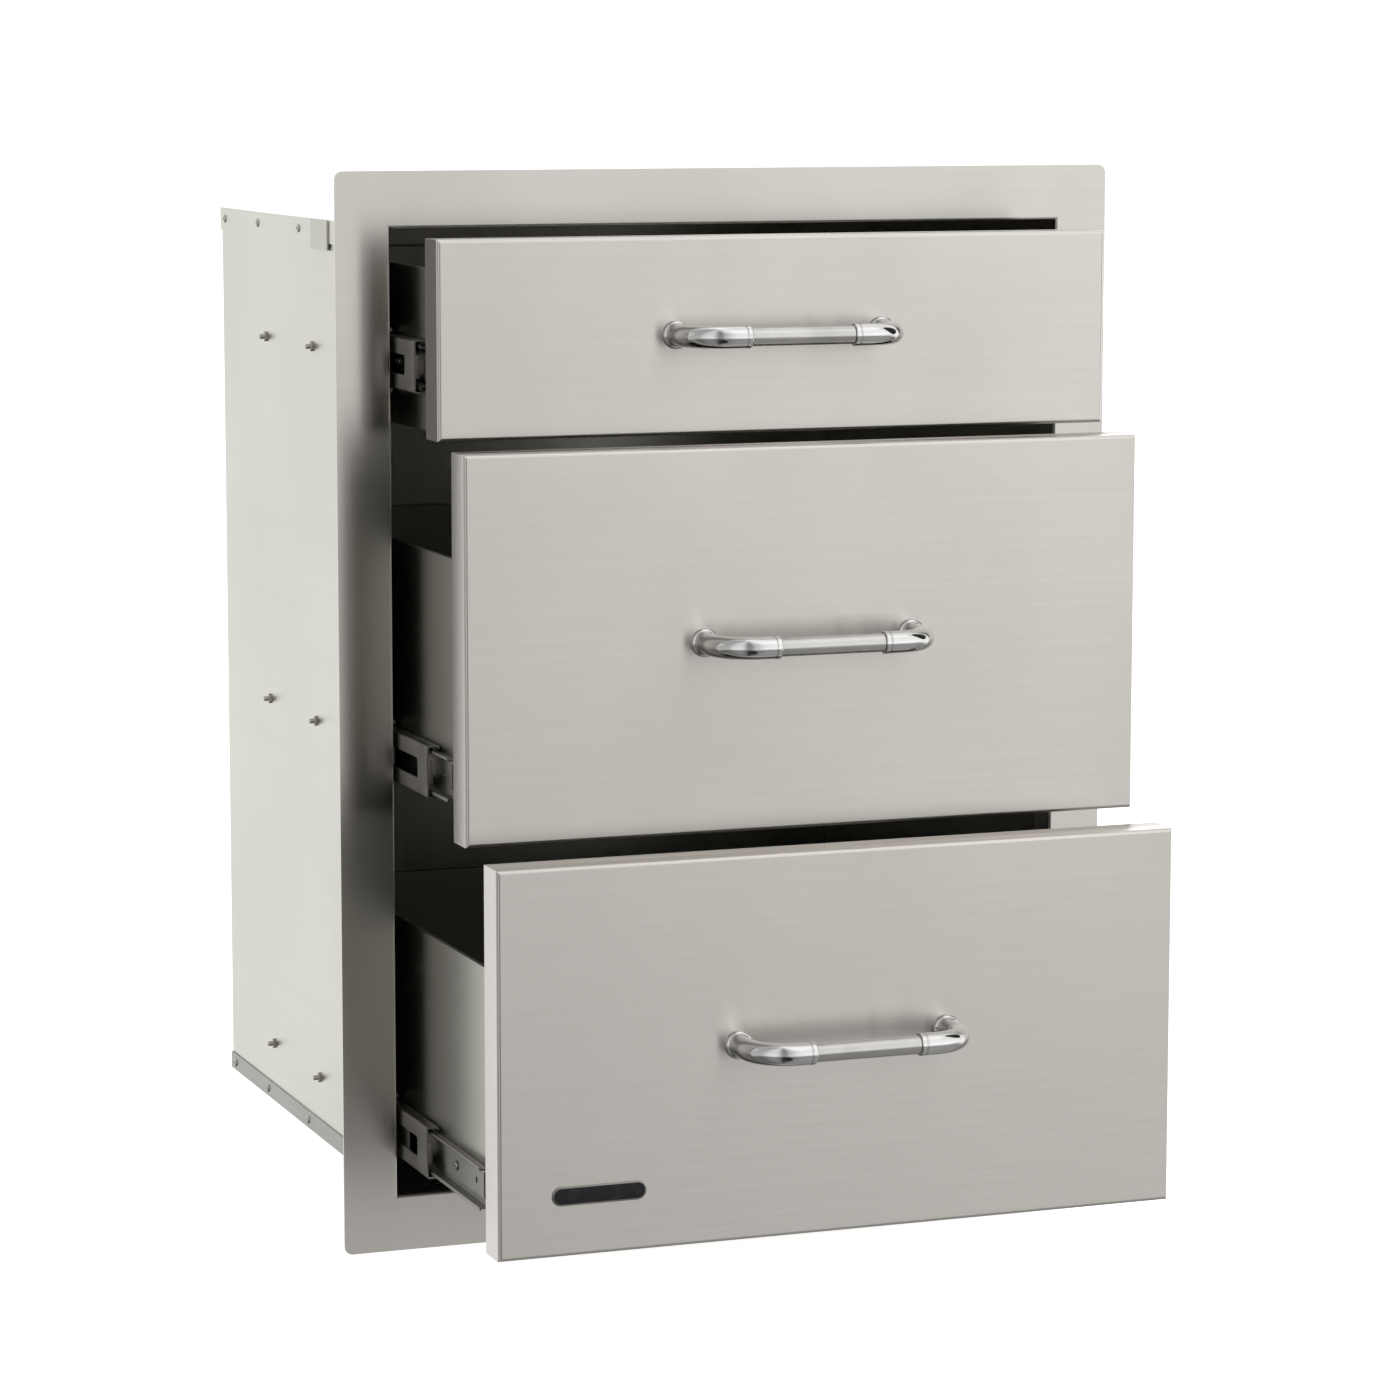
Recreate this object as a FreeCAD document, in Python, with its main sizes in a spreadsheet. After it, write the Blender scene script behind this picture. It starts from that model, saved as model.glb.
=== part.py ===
import FreeCAD, Part
import math
import os
import Sketcher

# A built-in outdoor kitchen drawer unit. A flat steel face frame carries a sheet box behind it, and three
# double-walled drawers run in the box on ball bearing slides of three members each.
#
# Lengths are in millimetres. X runs to the right as the user faces the unit, Y runs into the island and Z
# runs up. The origin is the bottom centre of the face frame's rear face, which bears on the island.
# Each drawer stands open by an amount of its own, with its slides drawn out between it and the box.

SIZES = {
    # Face frame: a flat flange with a collar turned back round the opening
    "frame_width": 583.0,
    "frame_margin": 39.5,
    "frame_sheet": 1.5,
    "frame_corner_radius": 6.0,
    "frame_bend_radius": 2.0,
    "collar_depth": 25.0,
    "mount_hole_radius": 2.25,
    "mount_hole_low": 201.0,
    "mount_hole_spacing": 360.0,
    # Sheet box behind the frame
    "box_sheet": 1.0,
    "box_depth": 448.0,
    "box_bend_radius": 1.5,
    "top_lip": 17.0,
    "bottom_lip": 14.0,
    "lid_overhang": 1.5,
    "back_flange": 12.0,
    "clip_start": 146.0,
    "clip_length": 42.0,
    "clip_height": 22.0,
    "clip_sheet": 1.2,
    # Ball bearing slides, measured inwards from the side of the box
    "slide_front": 28.0,
    "slide_length": 400.0,
    "slide_travel": 200.0,
    "slide_thickness": 12.7,
    "slide_sheet": 1.2,
    "slide_bend_radius": 1.6,
    "slide_gap": 0.3,
    "cabinet_member_height": 45.7,
    "cabinet_member_depth": 9.8,
    "cabinet_member_lip": 1.7,
    "ball_size": 3.3,
    "middle_member_end": 11.2,
    "middle_member_lip": 1.1,
    "middle_window_start": 22.0,
    "middle_window_length": 60.0,
    "middle_window_height": 14.0,
    "middle_lug_depth": 3.0,
    "middle_lug_height": 16.0,
    "drawer_member_setback": 12.0,
    "drawer_member_length": 370.0,
    "drawer_member_depth": 7.7,
    "drawer_member_lip": 1.15,
    "cage_sheet": 0.4,
    "cage_length": 280.0,
    "cage_end_gap": 1.0,
    "cage_ball_pitch": 90.0,
    "cage_rim": 0.45,
    "bumper_length": 6.0,
    "bumper_width": 3.4,
    "bumper_height": 2.3,
    # Drawer fronts: an outer pan closed by a liner
    "side_gap": 5.0,
    "front_gap": 4.5,
    "front_depth": 27.5,
    "front_sheet": 1.2,
    "front_edge_radius": 2.5,
    "liner_gap": 0.2,
    "liner_flange": 12.0,
    # Drawer trays
    "tray_sheet": 1.0,
    "tray_depth": 395.0,
    "tray_hem": 10.0,
    "tray_hem_thickness": 3.0,
    "tray_bend_radius": 1.5,
    "tray_flange": 14.0,
    "tray_back_return": 8.0,
    # Handles
    "handle_spacing": 152.4,
    "handle_standoff": 42.0,
    "handle_bend_radius": 26.0,
    "handle_elbow_radius": 7.75,
    "handle_bar_radius": 6.35,
    "handle_elbow_reach": 38.0,
    "handle_foot_radius": 9.8,
    "handle_foot_height": 3.5,
    # Plain oval plate on the lowest front
    "badge_length": 67.0,
    "badge_height": 13.0,
    "badge_sheet": 1.0,
    "badge_inset": 37.5,
    "badge_lift": 41.5,
    # Each drawer, from the top one down
    "top_front_height": 136.0,
    "top_tray_height": 112.0,
    "top_tray_drop": 45.0,
    "top_slide_lift": 48.0,
    "top_handle_lift": 69.0,
    "top_drawer_out": 92.5,
    "top_middle_out": 76.3,
    "deep_front_height": 264.5,
    "deep_tray_height": 164.0,
    "deep_tray_drop": 14.5,
    "deep_slide_lift": 40.5,
    "mid_handle_lift": 132.0,
    "mid_drawer_out": 148.6,
    "mid_middle_out": 99.7,
    "low_handle_lift": 135.5,
    "low_drawer_out": 214.5,
    "low_middle_out": 92.3,
}

# Ball windows along each flange of a cage, and the straight lengths that turn a handle's bend
BALL_WINDOWS = 3
BEND_STEPS = 8

# The share of the badge's half height that its end arcs take, so that a short flat stays between them
ALMOST_ROUND = 0.98

# How close two places are where an edge is looked for by its place
SAME_PLACE = 0.01

PLANES = {"X": "YZ_Plane", "Y": "XZ_Plane", "Z": "XY_Plane"}
HALF_TURN = FreeCAD.Rotation(FreeCAD.Vector(0, 1, 0), 180)
UP = FreeCAD.Vector(0, 0, 1)

doc = FreeCAD.newDocument("drawer_unit")
sheet = doc.addObject("Spreadsheet::Sheet", "Sizes")
for row, (alias, millimetres) in enumerate(SIZES.items(), 1):
    sheet.set(f"A{row}", alias)
    sheet.set(f"B{row}", str(millimetres))
    sheet.setAlias(f"B{row}", alias)
doc.recompute()


class Size:
    """A length that carries both its value and the sheet expression that gives it."""

    def __init__(self, value, text=None):
        self.value = float(value)
        self.text = text or f"({self.value!r})"

    def joined(self, other, sign, value):
        return Size(value, f"({self.text} {sign} {other.text})")

    def __add__(self, other):
        other = length(other)
        return self.joined(other, "+", self.value + other.value)

    def __sub__(self, other):
        other = length(other)
        return self.joined(other, "-", self.value - other.value)

    def __mul__(self, other):
        other = length(other)
        return self.joined(other, "*", self.value * other.value)

    def __truediv__(self, other):
        other = length(other)
        return self.joined(other, "/", self.value / other.value)

    def __rsub__(self, other):
        return length(other) - self

    def __neg__(self):
        return length(0) - self


def length(number):
    return number if isinstance(number, Size) else Size(number)


class Sizes:
    """The cells of the sheet, by name."""

    def __getattr__(self, alias):
        return Size(sheet.get(alias), f"Sizes.{alias}")


size = Sizes()

# Places that several pieces share
opening_half = size.frame_width / 2 - size.frame_margin
opening_bottom = size.frame_margin
opening_top = opening_bottom + size.top_front_height + size.deep_front_height * 2 + size.front_gap * 4
frame_height = opening_top + size.frame_margin
box_half = opening_half + size.box_sheet
front_half = opening_half - size.side_gap
tray_half = opening_half - size.slide_thickness
handle_half = size.handle_spacing / 2

# Slide section, inwards from the side of the box: webs of the cabinet member, the outer ball cage, the
# middle member and the inner ball cage, each a running gap from the last
outer_cage_web = size.slide_sheet + size.slide_gap
middle_web = outer_cage_web + size.cage_sheet + size.slide_gap
inner_cage_web = middle_web + size.slide_sheet + size.slide_gap
cabinet_member_half = size.cabinet_member_height / 2
middle_member_half = cabinet_member_half - size.slide_sheet - size.ball_size
drawer_member_half = middle_member_half - size.slide_sheet - size.ball_size
outer_ball_row = middle_member_half + size.ball_size / 2
inner_ball_row = drawer_member_half + size.ball_size / 2
outer_cage_end = size.cabinet_member_depth - size.slide_sheet - size.slide_gap
outer_ball_depth = outer_cage_end - size.cage_rim - size.ball_size / 2
inner_ball_depth = size.middle_member_end - size.slide_sheet - size.cage_rim - size.ball_size / 2

nodes = {}


def keep(label, item):
    """Gives a finished sub-part its label, which also names its file."""
    item.Label = label
    nodes[label] = item
    return item


def box_corners(left, right, low, high, radius=None):
    """The corners of an upright rectangle, rounded if a radius is given."""
    corners = [(left, low), (right, low), (right, high), (left, high)]
    return corners if radius is None else [(*corner, radius) for corner in corners]


def bind(sketch, kind, index, point, value):
    """Measures a point of the sketch from its origin and ties the measure to the sheet."""
    value = length(value)
    constraint = sketch.addConstraint(Sketcher.Constraint(kind, -1, 1, index, point, value.value))
    sketch.setExpression(f"Constraints[{constraint}]", value.text)


def draw_circle(sketch, centre_x, centre_y, radius):
    """A circle whose centre and radius follow the sheet."""
    centre = FreeCAD.Vector(length(centre_x).value, length(centre_y).value, 0)
    index = sketch.addGeometry(Part.Circle(centre, UP, length(radius).value), False)
    bind(sketch, "DistanceX", index, 3, centre_x)
    bind(sketch, "DistanceY", index, 3, centre_y)
    constraint = sketch.addConstraint(Sketcher.Constraint("Radius", index, length(radius).value))
    sketch.setExpression(f"Constraints[{constraint}]", length(radius).text)


def rounding(before, corner, after, radius):
    """The two ends of the arc that rounds a corner, the arc itself, and whether it runs anticlockwise."""
    into = (before - corner).normalize()
    out = (after - corner).normalize()
    half_angle = into.getAngle(out) / 2
    first = corner + into * (radius / math.tan(half_angle))
    last = corner + out * (radius / math.tan(half_angle))
    centre = corner + (into + out).normalize() * (radius / math.sin(half_angle))
    anticlockwise = (corner - before).cross(after - corner).z > 0
    start, end = (first, last) if anticlockwise else (last, first)
    angles = [math.atan2(point.y - centre.y, point.x - centre.x) for point in (start, end)]
    arc = Part.ArcOfCircle(Part.Circle(centre, UP, radius), angles[0], angles[1])
    return first, last, arc, anticlockwise


def draw_outline(sketch, corners, closed=True):
    """Straight lines from corner to corner. A corner with a third value is rounded by a tangent arc."""
    points = [FreeCAD.Vector(length(c[0]).value, length(c[1]).value, 0) for c in corners]
    count = len(corners)
    starts, ends, arcs = list(points), list(points), {}
    for i, corner in enumerate(corners):
        if len(corner) == 3:
            radius = length(corner[2])
            ends[i], starts[i], arc, anticlockwise = rounding(
                points[i - 1], points[i], points[(i + 1) % count], radius.value
            )
            arcs[i] = (arc, anticlockwise, radius)
    sides = count if closed else count - 1
    lines = [
        sketch.addGeometry(Part.LineSegment(starts[i], ends[(i + 1) % count]), False)
        for i in range(sides)
    ]
    for i, (x, y) in enumerate((c[0], c[1]) for c in corners):
        before = lines[i - 1] if closed or i else None
        after = lines[i] if i < sides else None
        if i in arcs:
            arc, anticlockwise, radius = arcs[i]
            bend = sketch.addGeometry(arc, False)
            mark = sketch.addGeometry(Part.Point(points[i]), True)
            near, far = (1, 2) if anticlockwise else (2, 1)
            sketch.addConstraint(Sketcher.Constraint("Tangent", before, 2, bend, near))
            sketch.addConstraint(Sketcher.Constraint("Tangent", bend, far, after, 1))
            sketch.addConstraint(Sketcher.Constraint("PointOnObject", mark, 1, before))
            sketch.addConstraint(Sketcher.Constraint("PointOnObject", mark, 1, after))
            constraint = sketch.addConstraint(Sketcher.Constraint("Radius", bend, radius.value))
            sketch.setExpression(f"Constraints[{constraint}]", radius.text)
            fixed, point = mark, 1
        elif after is None:
            fixed, point = before, 2
        else:
            if before is not None:
                sketch.addConstraint(Sketcher.Constraint("Coincident", before, 2, after, 1))
            fixed, point = after, 1
        bind(sketch, "DistanceX", fixed, point, x)
        bind(sketch, "DistanceY", fixed, point, y)


def start(label):
    """An empty body that will become one solid piece."""
    body = doc.addObject("PartDesign::Body", label)
    body.Label = label
    return body


def sketch_on(body, name, axis, level):
    """An empty sketch of the body, square to the axis at the given level along it."""
    sketch = body.newObject("Sketcher::SketchObject", name)
    plane = next(f for f in body.Origin.OriginFeatures if f.Role == PLANES[axis])
    sketch.AttachmentSupport = [(plane, "")]
    sketch.MapMode = "FlatFace"
    height = -length(level) if axis == "Y" else length(level)
    sketch.setExpression("AttachmentOffset.Base.z", height.text)
    return sketch


def swept(body, kind, name, axis, level, depth, shapes):
    """A pad or pocket of the given depth, from shapes that are circles or lists of corners."""
    sketch = sketch_on(body, f"{name}_sketch", axis, level)
    for shape in shapes:
        if isinstance(shape, tuple):
            draw_circle(sketch, *shape)
        else:
            draw_outline(sketch, shape)
    feature = body.newObject(kind, name)
    feature.Profile = sketch
    feature.setExpression("Length", depth.text)
    return feature


def pad(body, name, axis, low, high, *shapes):
    """Material between two levels of the axis. The XZ plane faces the user, so there a pad grows to -Y."""
    level = high if axis == "Y" else low
    return swept(body, "PartDesign::Pad", name, axis, level, length(high) - low, shapes)


def cut(body, name, axis, low, high, *shapes):
    """Removes what lies between two levels of the axis, which a pocket does against its plane's normal."""
    level = low if axis == "Y" else high
    return swept(body, "PartDesign::Pocket", name, axis, level, length(high) - low, shapes)


def round_edges(body, name, radius, wanted):
    """A fillet on each edge of the body so far whose box passes the test."""
    doc.recompute()
    base = body.Tip
    edges = [f"Edge{i}" for i, edge in enumerate(base.Shape.Edges, 1) if wanted(edge.BoundBox)]
    fillet = body.newObject("PartDesign::Fillet", name)
    fillet.Base = (base, edges)
    fillet.setExpression("Radius", radius.text)
    return fillet


def place(item, x=0, y=0, z=0, rotation=None):
    """Turns a piece, if asked, and ties its position to the sheet."""
    if rotation is not None:
        item.Placement = FreeCAD.Placement(FreeCAD.Vector(), rotation)
    for axis, level in zip("xyz", (x, y, z)):
        item.setExpression(f"Placement.Base.{axis}", length(level).text)
    return item


def group(name, members):
    """Several separate solids as one object."""
    compound = doc.addObject("Part::Compound", name)
    compound.Links = members
    return compound


def mirrored(name, source):
    """The piece's reflection in the plane X = 0."""
    twin = doc.addObject("Part::Mirroring", name)
    twin.Source = source
    twin.Normal = FreeCAD.Vector(1, 0, 0)
    return twin


def near(value, target):
    return abs(value - length(target).value) < SAME_PLACE


def face_frame():
    """The flange, square at the opening and rounded outside, with the collar turned back from it."""
    body = start("face_frame")
    half = size.frame_width / 2
    outside = box_corners(-half, half, 0, frame_height, size.frame_corner_radius)
    opening = box_corners(-opening_half, opening_half, opening_bottom, opening_top)
    wall = size.frame_sheet
    collar = box_corners(-opening_half - wall, opening_half + wall, opening_bottom - wall, opening_top + wall)
    pad(body, "flange", "Y", -wall, 0, outside, opening)
    pad(body, "collar", "Y", 0, size.collar_depth, collar, opening)
    holes = [
        (size.collar_depth / 2, size.mount_hole_low, size.mount_hole_radius),
        (size.collar_depth / 2, size.mount_hole_low + size.mount_hole_spacing, size.mount_hole_radius),
    ]
    cut(body, "side_holes", "X", -half, half, *holes)


    def opening_edge(box):
        return near(box.YMax, -wall) and abs(box.XMin) < opening_half.value + SAME_PLACE

    round_edges(body, "opening_bend", size.frame_bend_radius, opening_edge)
    keep("face_frame", body)


def box_panels():
    """The sheet box: two sides, a lid and a floor lipped over them, and a flanged back."""
    wall = size.box_sheet
    outline = box_corners(size.collar_depth, size.box_depth, opening_bottom, opening_top)
    for label, low, high in (
        ("left_side_panel", -box_half, -opening_half),
        ("right_side_panel", opening_half, box_half),
    ):
        body = start(label)
        pad(body, "sheet", "X", low, high, outline)
        keep(label, body)

    lip_out = box_half + wall
    for label, edge, sign, lip in (
        ("top_panel", opening_top, 1, size.top_lip),
        ("bottom_panel", opening_bottom, -1, size.bottom_lip),
    ):
        body = start(label)
        far = edge + wall * sign
        tip = far - lip * sign
        section = [
            (-lip_out, far, size.box_bend_radius),
            (lip_out, far, size.box_bend_radius),
            (lip_out, tip),
            (box_half, tip),
            (box_half, edge),
            (-box_half, edge),
            (-box_half, tip),
            (-lip_out, tip),
        ]
        pad(body, "sheet", "Y", size.collar_depth, size.box_depth + size.lid_overhang, section)
        keep(label, body)

    body = start("back_panel")
    outline = box_corners(-opening_half, opening_half, opening_bottom, opening_top)
    inside = box_corners(-opening_half + wall, opening_half - wall, opening_bottom + wall, opening_top - wall)
    front = size.box_depth - wall
    pad(body, "sheet", "Y", front, size.box_depth, outline)
    pad(body, "flange", "Y", front - size.back_flange, front, outline, inside)
    keep("back_panel", body)


def mounting_clips():
    """A flat clip on each of the lid's lips, close behind the frame."""
    lip_out = box_half + size.box_sheet
    body = start("left_clip")
    top = opening_top + size.box_sheet
    outline = box_corners(size.clip_start, size.clip_start + size.clip_length, top - size.clip_height, top)
    pad(body, "sheet", "X", -lip_out - size.clip_sheet, -lip_out, outline)
    keep("mounting_clips", group("mounting_clips", [body, mirrored("right_clip", body)]))


def slide_pair(label, build, level, y):
    """The left and right of a slide part, which is the same piece turned half round."""
    pair = []
    for side, sign, rotation in (("left", -1, None), ("right", 1, HALF_TURN)):
        body = start(f"{label}_{side}")
        build(body)
        pair.append(place(body, opening_half * sign, y, level, rotation))
    return pair


def cabinet_member(body):
    """A channel screwed to the box, its lips holding the outer balls in."""
    wall, half, deep = size.slide_sheet, cabinet_member_half, size.cabinet_member_depth
    tip = half - wall - size.cabinet_member_lip
    bend = size.slide_bend_radius
    section = [
        (0, -half, bend),
        (deep, -half),
        (deep, -tip),
        (deep - wall, -tip),
        (deep - wall, wall - half),
        (wall, wall - half),
        (wall, half - wall),
        (deep - wall, half - wall),
        (deep - wall, tip),
        (deep, tip),
        (deep, half),
        (0, half, bend),
    ]
    pad(body, "channel", "Y", 0, size.slide_length, section)


def middle_member(body):
    """A channel inside the first, with a long window in its web and a stop lug at its front end."""
    wall, half, deep = size.slide_sheet, middle_member_half, size.middle_member_end
    web = middle_web
    tip = half - wall - size.middle_member_lip
    bend = size.slide_bend_radius
    section = [
        (web, -half, bend),
        (deep, -half),
        (deep, -tip),
        (deep - wall, -tip),
        (deep - wall, wall - half),
        (web + wall, wall - half),
        (web + wall, half - wall),
        (deep - wall, half - wall),
        (deep - wall, tip),
        (deep, tip),
        (deep, half),
        (web, half, bend),
    ]
    pad(body, "channel", "Y", 0, size.slide_length, section)
    window_half = size.middle_window_height / 2
    window_end = size.middle_window_start + size.middle_window_length
    window = box_corners(size.middle_window_start, window_end, -window_half, window_half)
    cut(body, "window", "X", web, web + wall, window)
    lug_half = size.middle_lug_height / 2
    lug = box_corners(web + wall, web + wall + size.middle_lug_depth, -lug_half, lug_half)
    pad(body, "stop_lug", "Y", 0, wall, lug)


def drawer_member(body):
    """A narrow channel screwed to the tray, its lips turned outwards under the inner balls."""
    wall, half, out = size.slide_sheet, drawer_member_half, size.slide_thickness
    edge = out - size.drawer_member_depth
    tip = half + size.drawer_member_lip
    bend = size.slide_bend_radius
    section = [
        (out, -half, bend),
        (out, half, bend),
        (edge + wall, half),
        (edge + wall, tip),
        (edge, tip),
        (edge, half - wall),
        (out - wall, half - wall),
        (out - wall, wall - half),
        (edge, wall - half),
        (edge, -tip),
        (edge + wall, -tip),
        (edge + wall, -half),
    ]
    pad(body, "channel", "Y", 0, size.drawer_member_length, section)


def ball_cage(body, web, row, ball_depth):
    """A thin channel between two members, with windows for the balls along both flanges."""
    wall = size.cage_sheet
    end = ball_depth + size.ball_size / 2 + size.cage_rim
    half = row + wall / 2
    section = [
        (web, -half),
        (end, -half),
        (end, wall - half),
        (web + wall, wall - half),
        (web + wall, half - wall),
        (end, half - wall),
        (end, half),
        (web, half),
    ]
    pad(body, "strip", "Y", 0, size.cage_length, section)
    ball_half = size.ball_size / 2
    first = (size.cage_length - size.cage_ball_pitch * (BALL_WINDOWS - 1)) / 2
    window = box_corners(ball_depth - ball_half, ball_depth + ball_half, first - ball_half, first + ball_half)
    pocket = cut(body, "ball_window", "Z", -half, half, window)
    pattern = body.newObject("PartDesign::LinearPattern", "ball_windows")
    pattern.Originals = [pocket]
    along = next(f for f in body.Origin.OriginFeatures if f.Role == "Y_Axis")
    pattern.Direction = (along, [""])
    pattern.setExpression("Length", (size.cage_ball_pitch * (BALL_WINDOWS - 1)).text)
    pattern.Occurrences = BALL_WINDOWS
    body.Tip = pattern


class Drawer:
    """One drawer: its number, its sizes, and where it stands in the opening. The tray's floor lies its drop
    below the middle line of the slides that carry it."""

    def __init__(
        self, number, bottom, front_height, tray_height, tray_drop, slide_lift, handle_lift, out, middle_out
    ):
        self.number = number
        self.bottom = bottom
        self.front_height = front_height
        self.tray_low = slide_lift - tray_drop
        self.tray_high = self.tray_low + tray_height
        self.slide_level = bottom + slide_lift
        self.handle_lift = handle_lift
        self.out = out
        self.middle_out = middle_out

    def name(self, piece):
        return f"drawer_{self.number}_{piece}"

    def hang(self, piece, item):
        """Moves a piece modelled at the closed front's bottom centre to where the drawer stands."""
        place(item, 0, -size.frame_sheet - self.out, self.bottom)
        keep(self.name(piece), item)


def stack_drawers():
    """The three drawers, from the top one down, with an even gap above each and below the lowest."""
    low = opening_bottom + size.front_gap
    mid = low + size.deep_front_height + size.front_gap
    top = mid + size.deep_front_height + size.front_gap
    return [
        Drawer(
            1, top, size.top_front_height, size.top_tray_height, size.top_tray_drop, size.top_slide_lift,
            size.top_handle_lift, size.top_drawer_out, size.top_middle_out,
        ),
        Drawer(
            2, mid, size.deep_front_height, size.deep_tray_height, size.deep_tray_drop, size.deep_slide_lift,
            size.mid_handle_lift, size.mid_drawer_out, size.mid_middle_out,
        ),
        Drawer(
            3, low, size.deep_front_height, size.deep_tray_height, size.deep_tray_drop, size.deep_slide_lift,
            size.low_handle_lift, size.low_drawer_out, size.low_middle_out,
        ),
    ]


def front_pan(drawer):
    """The outer skin: a tray of sheet, open to the rear, with its front edges bent round."""
    body = start(drawer.name("front_pan"))
    wall = size.front_sheet
    outside = box_corners(-front_half, front_half, 0, drawer.front_height)
    inside = box_corners(-front_half + wall, front_half - wall, wall, drawer.front_height - wall)
    pad(body, "block", "Y", 0, size.front_depth, outside)
    cut(body, "hollow", "Y", wall, size.front_depth, inside)
    round_edges(body, "front_bend", size.front_edge_radius, lambda box: near(box.YMax, 0))
    drawer.hang("front_pan", body)


def front_liner(drawer):
    """The inner skin, which drops into the pan flush with its rear edge, flanges forward."""
    body = start(drawer.name("front_liner"))
    wall = size.front_sheet
    inset = wall + size.liner_gap
    outside = box_corners(-front_half + inset, front_half - inset, inset, drawer.front_height - inset)
    inset = inset + wall
    inside = box_corners(-front_half + inset, front_half - inset, inset, drawer.front_height - inset)
    front = size.front_depth - wall
    pad(body, "sheet", "Y", front, size.front_depth, outside)
    pad(body, "flange", "Y", front - size.liner_flange, front, outside, inside)
    drawer.hang("front_liner", body)


def tray(drawer):
    """One sheet bent into the floor and both sides, hemmed along the top, with flanges on the front."""
    body = start(drawer.name("tray"))
    wall, hem = size.tray_sheet, size.tray_hem_thickness
    low, high = drawer.tray_low, drawer.tray_high
    half = tray_half
    section = [
        (-half, low, size.tray_bend_radius),
        (half, low, size.tray_bend_radius),
        (half, high),
        (half - hem, high),
        (half - hem, high - size.tray_hem),
        (half - wall, high - size.tray_hem),
        (half - wall, low + wall),
        (wall - half, low + wall),
        (wall - half, high - size.tray_hem),
        (hem - half, high - size.tray_hem),
        (hem - half, high),
        (-half, high),
    ]
    begin = size.front_depth
    end = begin + size.tray_depth
    pad(body, "sheet", "Y", begin, end, section)
    flanges = [
        box_corners(left, left + size.tray_flange, low + wall, high - size.tray_hem)
        for left in (wall - half, half - wall - size.tray_flange)
    ]
    pad(body, "front_flanges", "Y", begin, begin + wall, *flanges)
    drawer.hang("tray", body)


def tray_back(drawer):
    """The rear wall, closing the end of the tray, with its top edge folded back."""
    body = start(drawer.name("tray_back"))
    wall = size.tray_sheet
    low, high = drawer.tray_low, drawer.tray_high
    begin = size.front_depth + size.tray_depth
    section = [
        (begin, low),
        (begin + wall, low),
        (begin + wall, high - wall),
        (begin + size.tray_back_return, high - wall),
        (begin + size.tray_back_return, high),
        (begin, high, size.tray_bend_radius),
    ]
    pad(body, "sheet", "X", -tray_half, tray_half, section)
    drawer.hang("tray_back", body)


def bend_corners(foot, out):
    """The middle line of an elbow: straight off its foot, round a quarter bend, and along to the bar."""
    bend = size.handle_bend_radius
    line = [(-handle_half, foot)]
    for step in range(BEND_STEPS + 1):
        angle = math.pi / 2 * step / BEND_STEPS
        line.append((-handle_half + bend * (1 - math.cos(angle)), out + bend * (1 - math.sin(angle))))
    line.append((-size.handle_elbow_reach, out))
    return line


def handle(drawer):
    """A bent tube on a round foot at either end, and the thinner bar between the two."""
    lift, out = drawer.handle_lift, -size.handle_standoff
    foot = -size.handle_foot_height
    elbow = start(drawer.name("left_elbow"))
    path = sketch_on(elbow, "middle_line", "Z", lift)
    draw_outline(path, bend_corners(foot, out), closed=False)
    ring = sketch_on(elbow, "ring", "Y", foot)
    draw_circle(ring, -handle_half, lift, size.handle_elbow_radius)
    pipe = elbow.newObject("PartDesign::AdditivePipe", "bend")
    pipe.Profile = ring
    pipe.Spine = (path, [])
    pipe.Transition = "Right corner"
    pad(elbow, "foot", "Y", foot, 0, (-handle_half, lift, size.handle_foot_radius))
    elbows = group(drawer.name("elbows"), [elbow, mirrored(drawer.name("right_elbow"), elbow)])
    drawer.hang("handle_elbows", elbows)

    bar = start(drawer.name("bar"))
    reach = size.handle_elbow_reach
    pad(bar, "bar", "X", -reach, reach, (out, lift, size.handle_bar_radius))
    drawer.hang("handle_bar", bar)


def badge_plate(drawer):
    """A plain oval plate on the front's lower left."""
    body = start(drawer.name("badge"))
    half_height = size.badge_height / 2
    left = -front_half + size.badge_inset
    low, high = size.badge_lift - half_height, size.badge_lift + half_height
    oval = box_corners(left, left + size.badge_length, low, high, half_height * ALMOST_ROUND)
    pad(body, "plate", "Y", -size.badge_sheet, 0, oval)
    drawer.hang("badge_plate", body)


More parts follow.
